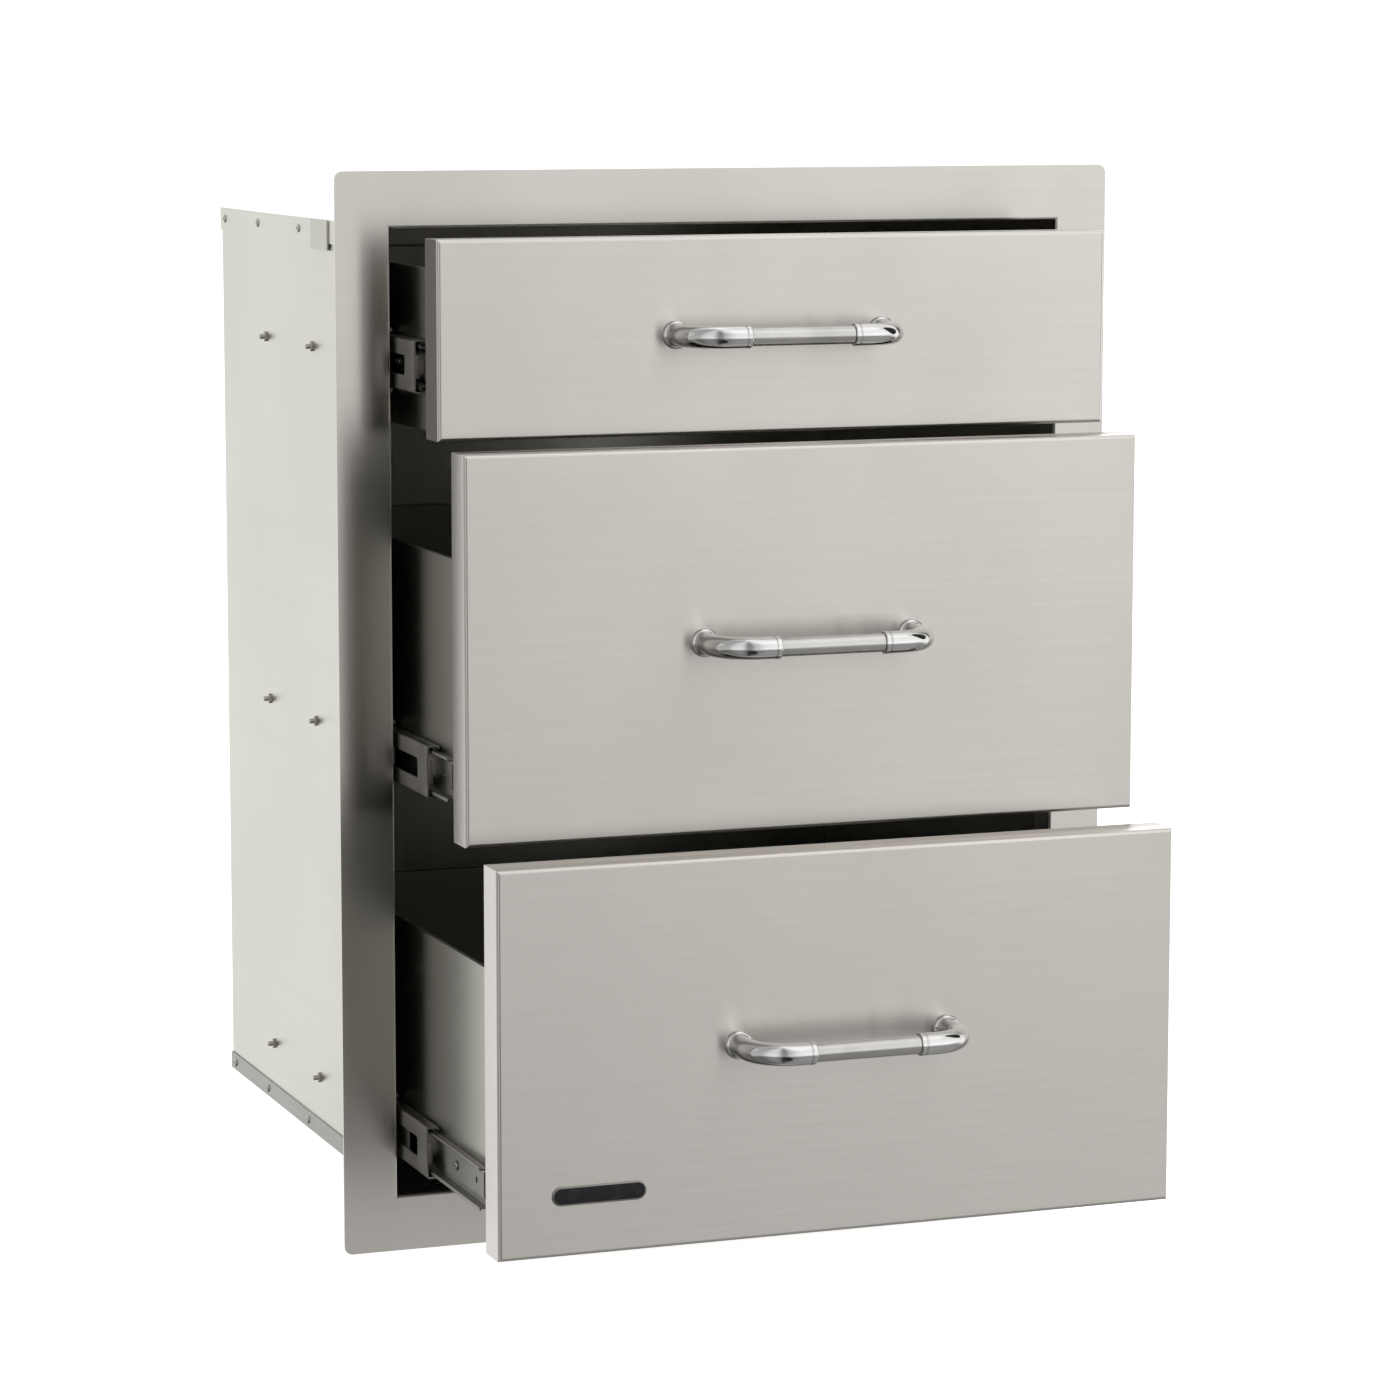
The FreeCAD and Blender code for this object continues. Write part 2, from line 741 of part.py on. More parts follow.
def slides(drawer):
    """The members and ball cages of a drawer's two slides, each where it stands while the drawer is open."""
    n, level = drawer.number, drawer.slide_level
    inner_out = drawer.out - drawer.middle_out
    cage_back = size.slide_travel / 2 + size.bumper_length + size.cage_end_gap
    middle_at = size.slide_front - drawer.middle_out
    drawer_at = size.slide_front + size.drawer_member_setback - drawer.out

    for label, build, y in (
        (f"cabinet_slide_{n}", cabinet_member, size.slide_front),
        (f"middle_slide_{n}", middle_member, middle_at),
        (drawer.name("slide"), drawer_member, drawer_at),
    ):
        for body in slide_pair(label, build, level, y):
            keep(body.Label, body)

    for label, web, row, ball_depth, y in (
        (f"outer_cages_{n}", outer_cage_web, outer_ball_row, outer_ball_depth,
         size.slide_front + cage_back - drawer.middle_out / 2),
        (f"inner_cages_{n}", inner_cage_web, inner_ball_row, inner_ball_depth,
         middle_at + cage_back - inner_out / 2),
    ):
        pair = slide_pair(f"{label}_pair", lambda body: ball_cage(body, web, row, ball_depth), level, y)
        keep(label, group(label, pair))

    blocks = []
    for sign, rotation in ((-1, None), (1, HALF_TURN)):
        for half in (1, -1):
            body = start(f"bumper_{n}_{len(blocks)}")
            low = middle_member_half - size.slide_sheet - size.bumper_height
            high = middle_member_half - size.slide_sheet
            right = size.middle_member_end - size.slide_sheet
            left = right - size.bumper_width
            edges = (low, high) if half > 0 else (-high, -low)
            pad(body, "block", "Y", 0, size.bumper_length, box_corners(left, right, *edges))
            blocks.append(place(body, opening_half * sign, middle_at, level, rotation))
    keep(f"middle_bumpers_{n}", group(f"middle_bumpers_{n}", blocks))


def write_parts():
    """Checks every object and each sub-part's shape, then writes one file for each sub-part."""
    doc.recompute()
    for item in doc.Objects:
        if "Invalid" in item.State or "Error" in item.State:
            raise RuntimeError(f"{item.Label} did not build: {item.State}")
        if item.TypeId == "PartDesign::Pocket" and item.Shape.Volume >= item.BaseFeature.Shape.Volume:
            raise RuntimeError(f"{item.Label} removes nothing")
    for label, item in nodes.items():
        if item.Shape.isNull() or not item.Shape.isValid() or not item.Shape.Solids:
            raise RuntimeError(f"{label} has no valid solid")
    os.makedirs("parts", exist_ok=True)
    for label, item in nodes.items():
        item.Shape.exportStep(f"parts/{label}.step")


drawer_stack = stack_drawers()
face_frame()
box_panels()
mounting_clips()
for each in drawer_stack:
    front_pan(each)
    front_liner(each)
    tray(each)
    tray_back(each)
    handle(each)
    slides(each)
badge_plate(drawer_stack[-1])
write_parts()
print(len(nodes), "sub-parts")
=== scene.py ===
import math

import bpy
import numpy as np
from bpy.props import FloatProperty, FloatVectorProperty, IntProperty, PointerProperty
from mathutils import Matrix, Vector


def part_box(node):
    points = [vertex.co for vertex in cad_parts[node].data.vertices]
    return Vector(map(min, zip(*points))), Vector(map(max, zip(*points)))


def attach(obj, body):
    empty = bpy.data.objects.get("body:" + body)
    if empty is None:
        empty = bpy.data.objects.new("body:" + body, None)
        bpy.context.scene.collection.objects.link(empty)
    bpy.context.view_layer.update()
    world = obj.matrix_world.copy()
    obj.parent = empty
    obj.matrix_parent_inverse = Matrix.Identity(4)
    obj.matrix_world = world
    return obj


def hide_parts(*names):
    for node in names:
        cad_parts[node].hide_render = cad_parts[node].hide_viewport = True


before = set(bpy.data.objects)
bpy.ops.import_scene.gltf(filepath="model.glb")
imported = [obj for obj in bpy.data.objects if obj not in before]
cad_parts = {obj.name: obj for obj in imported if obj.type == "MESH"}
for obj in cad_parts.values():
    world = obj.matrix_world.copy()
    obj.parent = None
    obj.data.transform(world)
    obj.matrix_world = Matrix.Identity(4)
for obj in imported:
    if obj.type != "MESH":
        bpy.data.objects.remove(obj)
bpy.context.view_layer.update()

bl_info = {
    "name": "Outdoor kitchen drawer unit",
    "version": (1, 0, 0),
    "blender": (4, 5, 0),
    "location": "View3D > Sidebar > Drawer Unit",
    "description": "Dresses a built-in drawer unit: sheet metal, handles, ball bearing slides and studio",
    "category": "Object",
}

# Lengths are in metres. X runs to the right as the user faces the unit, Y into the island and Z up.
DRAWERS = (1, 2, 3)
SIDES = (("left", 1), ("right", -1))
X_AXIS, Y_AXIS, Z_AXIS = np.eye(3)
MM = 0.001
QUARTER = math.pi / 2
FULL_TURN = 2 * math.pi
SHARP_ANGLE = math.radians(32)

# Openings in the webs of the cabinet, middle and drawer slide members, in millimetres: place along the
# member, half length, half height, corner radius
OPENINGS = (
    ((14, 4, 2.2, 2.2), (48, 2.6, 2.6, 2.6), (96, 9, 4.5, 4.5), (200, 9, 4.5, 4.5), (262, 2.6, 2.6, 2.6),
     (350, 4, 2.2, 2.2)),
    ((52, 30, 7, 2), (140, 30, 5, 3), (260, 30, 5, 3)),
    ((8, 2.2, 9.5, 2), (26, 2.4, 2.4, 2.4), (70, 2.4, 2.4, 2.4), (150, 9, 3.2, 3.2), (255, 2.4, 2.4, 2.4),
     (330, 6, 2.4, 2.4)),
)
# Bend radii of the same members' middle lines, at the web and at the lip
MEMBER_BENDS = (0.0014, 0.0011), (0.0014, 0.0009), (0.0012, 0.0006)
# The stop lug on a middle member's front end, and the bumpers
LUG_DEPTH, LUG_HEIGHT, BUMPER_WIDTH, BUMPER_HEIGHT = 0.003, 0.016, 0.0034, 0.0023
# From the box to the balls' middles, from there to the cage's edge, and from a cage's end to its first ball
OUTER_BALLS, INNER_BALLS, CAGE_MARGIN, CAGE_END = 0.0062, 0.0079, 0.0021, 0.012
# A cage's bend radius, the room round a ball in its window, and a ball's share of the space it rolls in
CAGE_BEND, BALL_ROOM, BALL_SHARE = 0.0008, 0.00012, 0.97

# Places of the studs and rivets along the box, and of the screws along a drawer member
STUD_PLACES, RIVET_PLACES, SLIDE_SCREW_PLACES = (0.194, 0.3215), (0.111, 0.225, 0.339, 0.436), (0.07, 0.255)
# How far the rivets lie from the top and the bottom of the box, and a slide screw's share of a handle screw
RIVET_DROP, RIVET_LIFT, SLIDE_SCREW_SHARE = 0.0085, 0.007, 0.75
# From one ridge of a stud's thread to the next, and half the ridge's height
THREAD_PITCH, THREAD_DEPTH = 0.0007, 0.00012

# How bright the room is: by compass direction in degrees from the right, anticlockwise as seen from above,
# and by height from straight down (-1) to straight up (1)
ROUND_ABOUT = (
    (-180, 0.5), (-160, 0.5), (-145, 0.85), (-128, 0.92), (-118, 0.6), (-113, 0.32), (-104, 0.32),
    (-95, 0.66), (-81, 0.88), (-73, 1.0), (-65, 1.19), (-45, 1.17), (0, 1.05), (40, 1.15), (60, 1.45),
    (78, 1.45), (96, 0.92), (115, 0.9), (140, 0.6), (180, 0.5),
)
UP_AND_DOWN = (
    (-1.0, 0.26), (-0.85, 0.3), (-0.6, 0.33), (-0.45, 0.32), (-0.35, 0.3), (-0.27, 0.38), (-0.2, 0.64),
    (-0.12, 1.02), (-0.03, 1.2), (0.08, 1.17), (0.25, 1.08), (0.6, 1.0), (1.0, 0.92),
)
# The level that straight views see
PLAIN_WHITE = 1.1

# Dark cards that only reflections see: name, middle, half width and half height
DARK_CARDS = (
    ("dark_card_right", (1.25, -0.34, 1.3), (0.0, -0.34, 0.0), (0.0, 0.0, 0.75)),
    ("dark_card_front", (-0.42, -2.1, -1.5), (0.5, 0.0, 0.0), (0.0, 0.0, 1.25)),
)
# Lamps: name, place, what it points at, size and power in watts
SOFTBOXES = (
    ("top_softbox", (0.6, -1.2, 3.2), (0.0, 0.1, 0.3), 2.4, 4.0),
    ("left_softbox", (-3.2, 0.6, 2.0), (0.0, 0.1, 0.4), 2.0, 2.0),
)


# Sizes and colours

def property_kind(maker, **limits):
    """Makes properties of one kind from a name, a description and a default."""
    return lambda name, description, default: maker(
        name=name, description=description, default=default, **limits)


distance = property_kind(FloatProperty, min=0.0, precision=5, unit="LENGTH", subtype="DISTANCE")
colour = property_kind(FloatVectorProperty, size=3, min=0.0, max=1.0, subtype="COLOR")
share = property_kind(FloatProperty, min=0.0, max=1.0, subtype="FACTOR")
number = property_kind(FloatProperty, min=0.0)
count = property_kind(IntProperty, min=2)


class HandleSizes(bpy.types.PropertyGroup):
    """A bent end on a round foot at either side, and the bar between them"""

    spacing: distance("Spacing", "Between the feet's middles", 0.1524)
    standoff: distance("Stand-off", "From the front to the bar's middle", 0.042)
    bend_radius: distance("Bend radius", "Of the elbow's middle line", 0.026)
    elbow_radius: distance("Elbow radius", "Of the bent tube", 0.0076)
    bar_radius: distance("Bar radius", "Of the straight bar", 0.00635)
    elbow_reach: distance("Elbow reach", "From the handle's middle to the elbow's end", 0.038)
    foot_radius: distance("Foot radius", "Of the round foot", 0.0098)
    foot_height: distance("Foot height", "Of the foot's rounded disc", 0.0035)
    collar_radius: distance("Collar radius", "Of the ring at the elbow's end", 0.00775)
    collar_length: distance("Collar length", "Of the ring at the elbow's end", 0.0034)
    segments: count("Segments", "Points round the tube", 56)


class SlideSizes(bpy.types.PropertyGroup):
    """Section of a three member ball bearing slide, measured inwards from the side of the box"""

    sheet: distance("Sheet", "Thickness of the members", 0.0012)
    cage_sheet: distance("Cage sheet", "Thickness of the ball cages", 0.0004)
    gap: distance("Running gap", "Between neighbouring members and cages", 0.0003)
    thickness: distance("Thickness", "Of the whole slide", 0.0127)
    cabinet_half: distance("Cabinet member half height", "From its middle to the outside", 0.02285)
    cabinet_depth: distance("Cabinet member depth", "From the box to the lip's face", 0.0098)
    cabinet_lip: distance("Cabinet member lip", "Of the lip over the outer balls", 0.0017)
    middle_end: distance("Middle member depth", "From the box to the lip's face", 0.0112)
    middle_lip: distance("Middle member lip", "Of the lip over the inner balls", 0.0011)
    drawer_depth: distance("Drawer member depth", "From the tray's side to the lip's face", 0.0077)
    drawer_lip: distance("Drawer member lip", "How far the lip is turned outwards", 0.00115)
    ball: distance("Ball size", "Diameter of a ball", 0.0033)
    balls: count("Balls", "Balls in each row of a cage", 12)


class FastenerSizes(bpy.types.PropertyGroup):
    """Screws, studs and rivets"""

    stud_radius: distance("Stud radius", "Of the slide studs on the box", 0.002)
    stud_length: distance("Stud length", "From the box to the stud's end", 0.0055)
    nut_radius: distance("Nut radius", "From a stud's middle to its nut's corners", 0.0037)
    nut_height: distance("Nut height", "Of a stud's nut", 0.0018)
    rivet_radius: distance("Rivet radius", "Of a rivet's head", 0.0032)
    rivet_height: distance("Rivet height", "Of a rivet's head", 0.0012)
    screw_radius: distance("Screw radius", "Of a screw's pan head", 0.0045)
    screw_height: distance("Screw height", "Of a screw's pan head", 0.0024)


class PlateSizes(bpy.types.PropertyGroup):
    """The plain oval plate on the lowest front"""

    rim: distance("Rim", "Of the bright rim round the plate", 0.0011)
    field_depth: distance("Field depth", "From the rim down to the dark field", 0.0003)
    segments: count("Segments", "Points round the plate", 72)


class SheetFinish(bpy.types.PropertyGroup):
    """Brushed stainless sheet and the other metals"""

    steel: colour("Brushed steel", "Of the face frame and the fronts", (0.56, 0.535, 0.5))
    panel: colour("Box steel", "Of the box and the trays", (0.535, 0.53, 0.476))
    # A darker copy of the box steel: painted shade on the box's floor panel and the trays' backs
    underside: colour("Underside steel", "Of the box's floor panel", (0.24, 0.237, 0.213))
    chrome: colour("Chrome", "Of the handles' bent ends", (0.62, 0.615, 0.605))
    # A darker copy of the chrome colour: painted shade on the bars. The bars' satin finish is their higher
    # roughness
    bar: colour("Bar", "Of the handles' bars", (0.52, 0.511, 0.497))
    zinc: colour("Zinc", "Of the slide members", (0.31, 0.3, 0.278))
    cage: colour("Cage steel", "Of the ball cages", (0.22, 0.21, 0.185))
    rubber: colour("Bumper black", "Of the stops", (0.012, 0.012, 0.012))
    enamel: colour("Enamel", "Of the plate's field", (0.01, 0.01, 0.011))
    roughness: share("Roughness", "Of the frame and the fronts", 0.235)
    grain: distance("Grain depth", "Of the brush lines on the frame and fronts", 0.000004)
    box_roughness: share("Box roughness", "Of the box and the trays", 0.325)
    box_grain: distance("Box grain depth", "Of the brush lines on the box and trays", 0.0000016)


class StudioSettings(bpy.types.PropertyGroup):
    """Floor, light and camera"""

    floor: colour("Floor", "Of the floor", (0.88, 0.88, 0.875))
    floor_radius: distance("Floor radius", "Of the round floor", 16.0)
    brightness: number("Brightness", "Of the light from all round", 1.12)
    lens: number("Lens", "Focal length in millimetres on a 36 mm sensor", 118.49)


# Surfaces

def grid_faces(rows, columns, closed=False):
    """Quads between neighbouring points of a grid; closed joins its last column to its first."""
    across = columns if closed else columns - 1
    row, column = np.meshgrid(np.arange(rows - 1), np.arange(across), indexing="ij")
    after = (column + 1) % columns
    here, above = row * columns, (row + 1) * columns
    return np.stack((here + column, here + after, above + after, above + column), -1).reshape(-1, 4)


def closed_rings(rings):
    """Points and faces of a solid given as rings, each run anticlockwise about the way the rings go.
    Quads join the rings, and a fan to the middle of the first and of the last ring closes the ends."""
    rows, columns, _ = rings.shape
    points = np.concatenate([rings.reshape(-1, 3), rings[:1].mean(axis=1), rings[-1:].mean(axis=1)])
    here = np.arange(columns)
    after = (here + 1) % columns
    first, last = np.full(columns, rows * columns), np.full(columns, rows * columns + 1)
    top = (rows - 1) * columns
    fans = np.concatenate([np.stack([after, here, first], 1), np.stack([top + here, top + after, last], 1)])
    return points, grid_faces(rows, columns, closed=True).tolist() + fans.tolist()


def carried_circle(centres, tangents, radii, up, segments):
    """A circle carried along a flat line:
    P(i, a) = centre(i) + radius(i) (cos a * (up x tangent(i)) + sin a * up)."""
    angle = np.linspace(0, FULL_TURN, segments, endpoint=False)[None, :, None]
    across = np.cross(up, tangents)[:, None, :]
    out = np.cos(angle) * across + np.sin(angle) * up
    return closed_rings(centres[:, None, :] + np.asarray(radii)[:, None, None] * out)


def square_to(axis):
    """A direction square to an axis: up, or to the right where the axis itself stands up."""
    return Z_AXIS if abs(axis[2]) < 0.5 else X_AXIS


def turned(centre, axis, profile, segments, sides=0):
    """A profile turned about an axis:
    P(i, a) = centre + height(i) * axis + radius(i) (cos a * u + sin a * v).
    With sides, the outline is a polygon: the radius is divided by cos(a') / cos(pi / sides), where a' is the
    angle from the middle of the nearest side."""
    across = square_to(axis)
    angle = np.linspace(0, FULL_TURN, segments, endpoint=False)
    out = np.cos(angle)[:, None] * across + np.sin(angle)[:, None] * np.cross(axis, across)
    if sides:
        half = math.pi / sides
        out *= (math.cos(half) / np.cos(np.mod(angle, 2 * half) - half))[:, None]
    height, radius = np.asarray(profile, float).T
    return closed_rings(centre + height[:, None, None] * axis + radius[:, None, None] * out[None])


def ball(centre, radius):
    """A small ball: circles of radius r sin b at height -r cos b, with b from one pole to the other."""
    polar = np.linspace(0, math.pi, 7)[1:-1]
    profile = np.stack([-np.cos(polar), np.sin(polar)], 1) * radius
    return turned(centre, Y_AXIS, profile, 8)


def rounded_block(low, high, radius, steps=24):
    """A block with rounded edges: P(a, b) = middle + sign(d) * (half size - radius) + radius * d, where
    d(a, b) is the direction at longitude a and latitude b."""
    middle, half = (low + high) / 2, (high - low) / 2
    longitude = (np.arange(steps) + 0.5) / steps * FULL_TURN
    latitude = (np.arange(steps // 2) + 0.5) / (steps // 2) * math.pi - QUARTER
    longitude, latitude = np.meshgrid(longitude, latitude)
    level = np.cos(latitude)
    toward = np.stack([level * np.cos(longitude), level * np.sin(longitude), np.sin(latitude)], -1)
    return closed_rings(middle + np.sign(toward) * (half - radius) + radius * toward)


def rounded_line(corners, radii, steps=5):
    """A line from corner to corner with each inner corner, square, turned on a quarter circle:
    P(t) = corner - radius * (1 - sin t) * way in + radius * (1 - cos t) * way out."""
    corners = np.asarray(corners, float)
    turn = np.linspace(0, QUARTER, steps + 1)[:, None]
    pieces = [corners[:1]]
    for before, corner, after, radius in zip(corners, corners[1:], corners[2:], radii):
        way_in = (corner - before) / np.linalg.norm(corner - before)
        way_out = (after - corner) / np.linalg.norm(after - corner)
        pieces.append(corner - radius * (1 - np.sin(turn)) * way_in + radius * (1 - np.cos(turn)) * way_out)
    pieces.append(corners[-1:])
    return np.concatenate(pieces)


def cut_lines(ends, cuts):
    """Grid lines through the ends, the openings' edges and their rounded corners. A cut is an opening's
    middle and half size in one direction, and its corner radius."""
    lines = [ends]
    for middle, half, corner in cuts:
        levels = np.array([half - corner, half - corner / 2, half]) if corner else np.array([half])
        lines += [middle - levels, middle + levels]
    return np.unique(np.round(np.concatenate(lines), 7))


def bent_sheet(line, length, thickness, openings):
    """A bent sheet: P(s, y) = line(s) carried along Y, moved half the thickness to either side along the
    line's normal. The grid's cells inside an opening are left out, the points on its edge are pulled onto its
    rounded corners, and a wall joins the two faces wherever the sheet ends.
    An opening is (its middle along the line and Y, its half sizes along both, its corner radius)."""
    run = np.concatenate([[0], np.cumsum(np.hypot(*np.diff(line, axis=0).T))])
    tangent = np.gradient(line, run, axis=0)
    normal = np.stack([tangent[:, 1], -tangent[:, 0]], 1)
    normal /= np.linalg.norm(normal, axis=1)[:, None]
    lines = [cut_lines(ends, [(at[k], half[k], corner) for at, half, corner in openings])
             for k, ends in enumerate((run, [0.0, length]))]
    grid = np.stack(np.meshgrid(*lines, indexing="ij"))
    cells = np.stack(np.meshgrid(*((marks[1:] + marks[:-1]) / 2 for marks in lines), indexing="ij"))
    kept = np.ones(cells.shape[1:], bool)
    for at, half, corner in openings:
        at, half = np.array(at)[:, None, None], np.array(half)[:, None, None]
        kept &= ~(abs(cells - at) < half).all(axis=0)
        offset = grid - at
        over = np.maximum(abs(offset) - (half - corner), 0)
        reach = np.hypot(*over)
        touched = (abs(offset) <= half + 1e-6).all(axis=0) & (reach > corner)
        pull = np.where(touched, corner / np.maximum(reach, 1e-9), 1)
        grid = np.where(touched, at + np.sign(offset) * (half - corner + over * pull), grid)
    faces = grid_faces(*grid.shape[1:])[kept.ravel()]
    along, y = grid.reshape(2, -1)
    at, side = (np.stack([np.interp(along, run, of[:, k]) for k in (0, 1)], -1) for of in (line, normal))
    side = side * thickness / 2
    flat = np.concatenate([at + side, at - side])
    points = np.stack([flat[:, 0], np.tile(y, 2), flat[:, 1]], 1)
    behind = len(at)
    edges = np.stack([faces, np.roll(faces, -1, axis=1)], -1).reshape(-1, 2)
    code, back = edges[:, 0] * behind + edges[:, 1], edges[:, 1] * behind + edges[:, 0]
    a, b = edges[~np.isin(back, code)].T
    walls = np.stack([b, a, a + behind, b + behind], 1)
    faces = np.concatenate([faces, faces[:, ::-1] + behind, walls])
    used, faces = np.unique(faces, return_inverse=True)
    return points[used], faces.reshape(-1, 4).tolist()


def on_side(solid, inward, wall, y, z):
    """Puts a piece measured inwards from a side of the box in its place: x = wall + inward * u. The right
    side is a reflection, so its faces are turned round."""
    points, faces = solid
    points = points * (inward, 1, 1) + (wall, y, z)
    return points, (faces if inward > 0 else [face[::-1] for face in faces])


def joined(*solids):
    """Several solids' points and faces as one list of each."""
    points, faces, before = [], [], 0
    for solid_points, solid_faces in solids:
        points.append(solid_points)
        faces += [[corner + before for corner in face] for face in solid_faces]
        before += len(solid_points)
    return np.concatenate(points), faces


def new_object(name, solid, material):
    """An object of the given points and faces, put in the scene."""
    points, faces = solid
    mesh = bpy.data.meshes.new(name)
    mesh.from_pydata(points.tolist(), [], faces)
    mesh.materials.append(material)
    item = bpy.data.objects.new(name, mesh)
    bpy.context.scene.collection.objects.link(item)
    return item


def add_piece(name, solid, body, finish, replaced=()):
    """Makes one named piece, which rides on a body and stands for the nodes that it replaces."""
    piece = new_object(name, solid, finish_named(finish))
    mesh = piece.data
    mesh.polygons.foreach_set("use_smooth", np.ones(len(mesh.polygons), bool))
    mesh.set_sharp_from_angle(angle=SHARP_ANGLE)
    mesh.update()
    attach(piece, body)
    if replaced:
        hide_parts(*replaced)


def middle_height(node):
    """How high the middle of a node lies."""
    low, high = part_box(node)
    return (low.z + high.z) / 2


def outer_face(node, inward):
    """Where a node's outer face lies, on the left with inward 1 and on the right with inward -1."""
    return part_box(node)[0 if inward > 0 else 1].x


# Finishes

class Tree:
    """A node tree being put together: adds nodes and joins them."""

    def __init__(self, tree):
        self.tree = tree
        self.tree.nodes.clear()

    def add(self, kind, inputs=None, **settings):
        """A node with these settings and inputs."""
        node = self.tree.nodes.new(kind)
        for key, value in settings.items():
            setattr(node, key, value)
        self.give(node, inputs or {})
        return node

    def give(self, node, inputs):
        """Gives a node's inputs, by name or number, each a constant or another node's output."""
        for key, value in inputs.items():
            if isinstance(value, bpy.types.NodeSocket):
                self.tree.links.new(value, node.inputs[key])
            else:
                node.inputs[key].default_value = value

    def ranged(self, value, low, high, start=0.3, end=0.7, smooth=False):
        """The value from start to end, spread over low to high, evenly or with a soft start and end."""
        inputs = {"Value": value, "From Min": start, "From Max": end, "To Min": low, "To Max": high}
        kind = "SMOOTHSTEP" if smooth else "LINEAR"
        return self.add("ShaderNodeMapRange", inputs, interpolation_type=kind).outputs["Result"]

    def ramp(self, factor, stops):
        """A level read off a row of stops, each a place from 0 to 1 and its level."""
        node = self.add("ShaderNodeValToRGB", {"Fac": factor})
        elements = node.color_ramp.elements
        while len(elements) < len(stops):
            elements.new(1.0)
        for element, (place, level) in zip(elements, stops):
            element.position, element.color = place, (level, level, level, 1.0)
        return node.outputs["Color"]

    def mixed(self, factor, low, high):
        """From one value to the other as the factor goes from 0 to 1."""
        return self.add("ShaderNodeMix", {"Factor": factor, "A": low, "B": high}).outputs["Result"]

    def combined(self, operation, first, second):
        """Two values put together by a sum, a product or the like."""
        return self.add("ShaderNodeMath", {0: first, 1: second}, operation=operation).outputs["Value"]


class Finish(Tree):
    """A material being put together round one shader, on the piece's own coordinates."""

    def __init__(self, name):
        self.material = bpy.data.materials.new(name)
        self.material.use_nodes = True
        super().__init__(self.material.node_tree)
        self.shader = self.add("ShaderNodeBsdfPrincipled")
        self.add("ShaderNodeOutputMaterial", {"Surface": self.shader.outputs["BSDF"]})
        self.place = self.add("ShaderNodeTexCoord").outputs["Object"]

    def noise(self, scale, detail=2.0, roughness=0.5):
        """Noise that varies scale times in a metre, along all three axes or along each."""
        scale = scale if isinstance(scale, tuple) else (scale,) * 3
        place = self.add("ShaderNodeMapping", {"Vector": self.place, "Scale": scale}).outputs["Vector"]
        inputs = {"Vector": place, "Scale": 1.0, "Detail": detail, "Roughness": roughness}
        return self.add("ShaderNodeTexNoise", inputs).outputs["Fac"]

    def blended(self, factor, low, high):
        """From one colour to the other as the factor goes from 0 to 1."""
        low, high = ((*value, 1.0) if isinstance(value, tuple) else value for value in (low, high))
        return self.add("ShaderNodeMix", {"Factor": factor, 6: low, 7: high}, data_type="RGBA").outputs[2]

    def bump(self, height, depth, under=None):
        """The height as a relief of the given depth, on top of the relief under it."""
        inputs = {"Strength": 1.0, "Distance": depth, "Height": height}
        if under is not None:
            inputs["Normal"] = under
        return self.add("ShaderNodeBump", inputs).outputs["Normal"]

    def edges(self, radius):
        """How near a point is to an edge, from the way a rounded normal leans away from the true one."""
        rounded = self.add("ShaderNodeBevel", {"Radius": radius}, samples=4).outputs["Normal"]
        true = self.add("ShaderNodeNewGeometry").outputs["Normal"]
        dot = self.add("ShaderNodeVectorMath", {0: rounded, 1: true}, operation="DOT_PRODUCT")
        return self.ranged(dot.outputs["Value"], 1.0, 0.0, 0.8, 1.0)

    def finished(self, base_color, **inputs):
        """The material, once its shader has this colour and these other inputs."""
        named = {key.replace("_", " ").title().replace("Ior", "IOR"): value for key, value in inputs.items()}
        self.give(self.shader, {"Base Color": base_color, **named})
        return self.material


def tinted(rgb, factor):
    return tuple(min(1.0, channel * factor) for channel in rgb)


def brushed_sheet(name, rgb, roughness, grain, grain_scale, anisotropic, wave):
    """Stainless sheet: long fine brush lines, soft wide smudges, slight waviness and brighter worn edges."""
    finish = Finish(name)
    lines = finish.noise(grain_scale, 3.0, 0.6)
    streaks = finish.noise(tuple(scale / 9 for scale in grain_scale))
    smudges = finish.noise((7.0, 7.0, 5.0), 3.0)
    waves = finish.noise((3.2, 3.2, 3.6), 1.0)
    halves = (finish.combined("MULTIPLY", source, 0.5) for source in (lines, streaks))
    tone = finish.combined("ADD", *halves)
    base = finish.blended(finish.ranged(tone, 0.0, 1.0), tinted(rgb, 0.975), tinted(rgb, 1.025))
    base = finish.blended(finish.ranged(smudges, 0.0, 0.35, 0.4, 0.75), base, tinted(rgb, 0.92))
    base = finish.blended(finish.edges(1.2 * MM), base, tinted(rgb, 1.04))
    rough = finish.combined("ADD", finish.ranged(lines, -0.018, 0.018), finish.ranged(smudges, -0.015, 0.02))
    rough = finish.combined("ADD", rough, roughness)
    relief = finish.bump(lines, grain, finish.bump(waves, wave))
    return finish.finished(base, roughness=rough, normal=relief, metallic=1.0, anisotropic=anisotropic,
                           anisotropic_rotation=0.25)


def plated_metal(name, rgb, roughness, grain, pits=900.0, dust=0.0, metallic=1.0):
    """Plated or rolled metal: fine pitting, cloudy tone and brighter worn edges."""
    finish = Finish(name)
    fine = finish.noise(pits)
    cloud = finish.noise(38.0, 3.0)
    base = finish.blended(finish.ranged(cloud, 0.0, 1.0), tinted(rgb, 0.86), tinted(rgb, 1.06))
    base = finish.blended(finish.edges(0.5 * MM), base, tinted(rgb, 1.25))
    clouded, pitted = finish.ranged(cloud, -0.03 - dust, 0.04 + dust), finish.ranged(fine, -0.01, 0.01)
    rough = finish.combined("ADD", finish.combined("ADD", clouded, pitted), roughness)
    rough = finish.combined("MAXIMUM", rough, 0.02)
    return finish.finished(base, roughness=rough, normal=finish.bump(fine, grain), metallic=metallic)


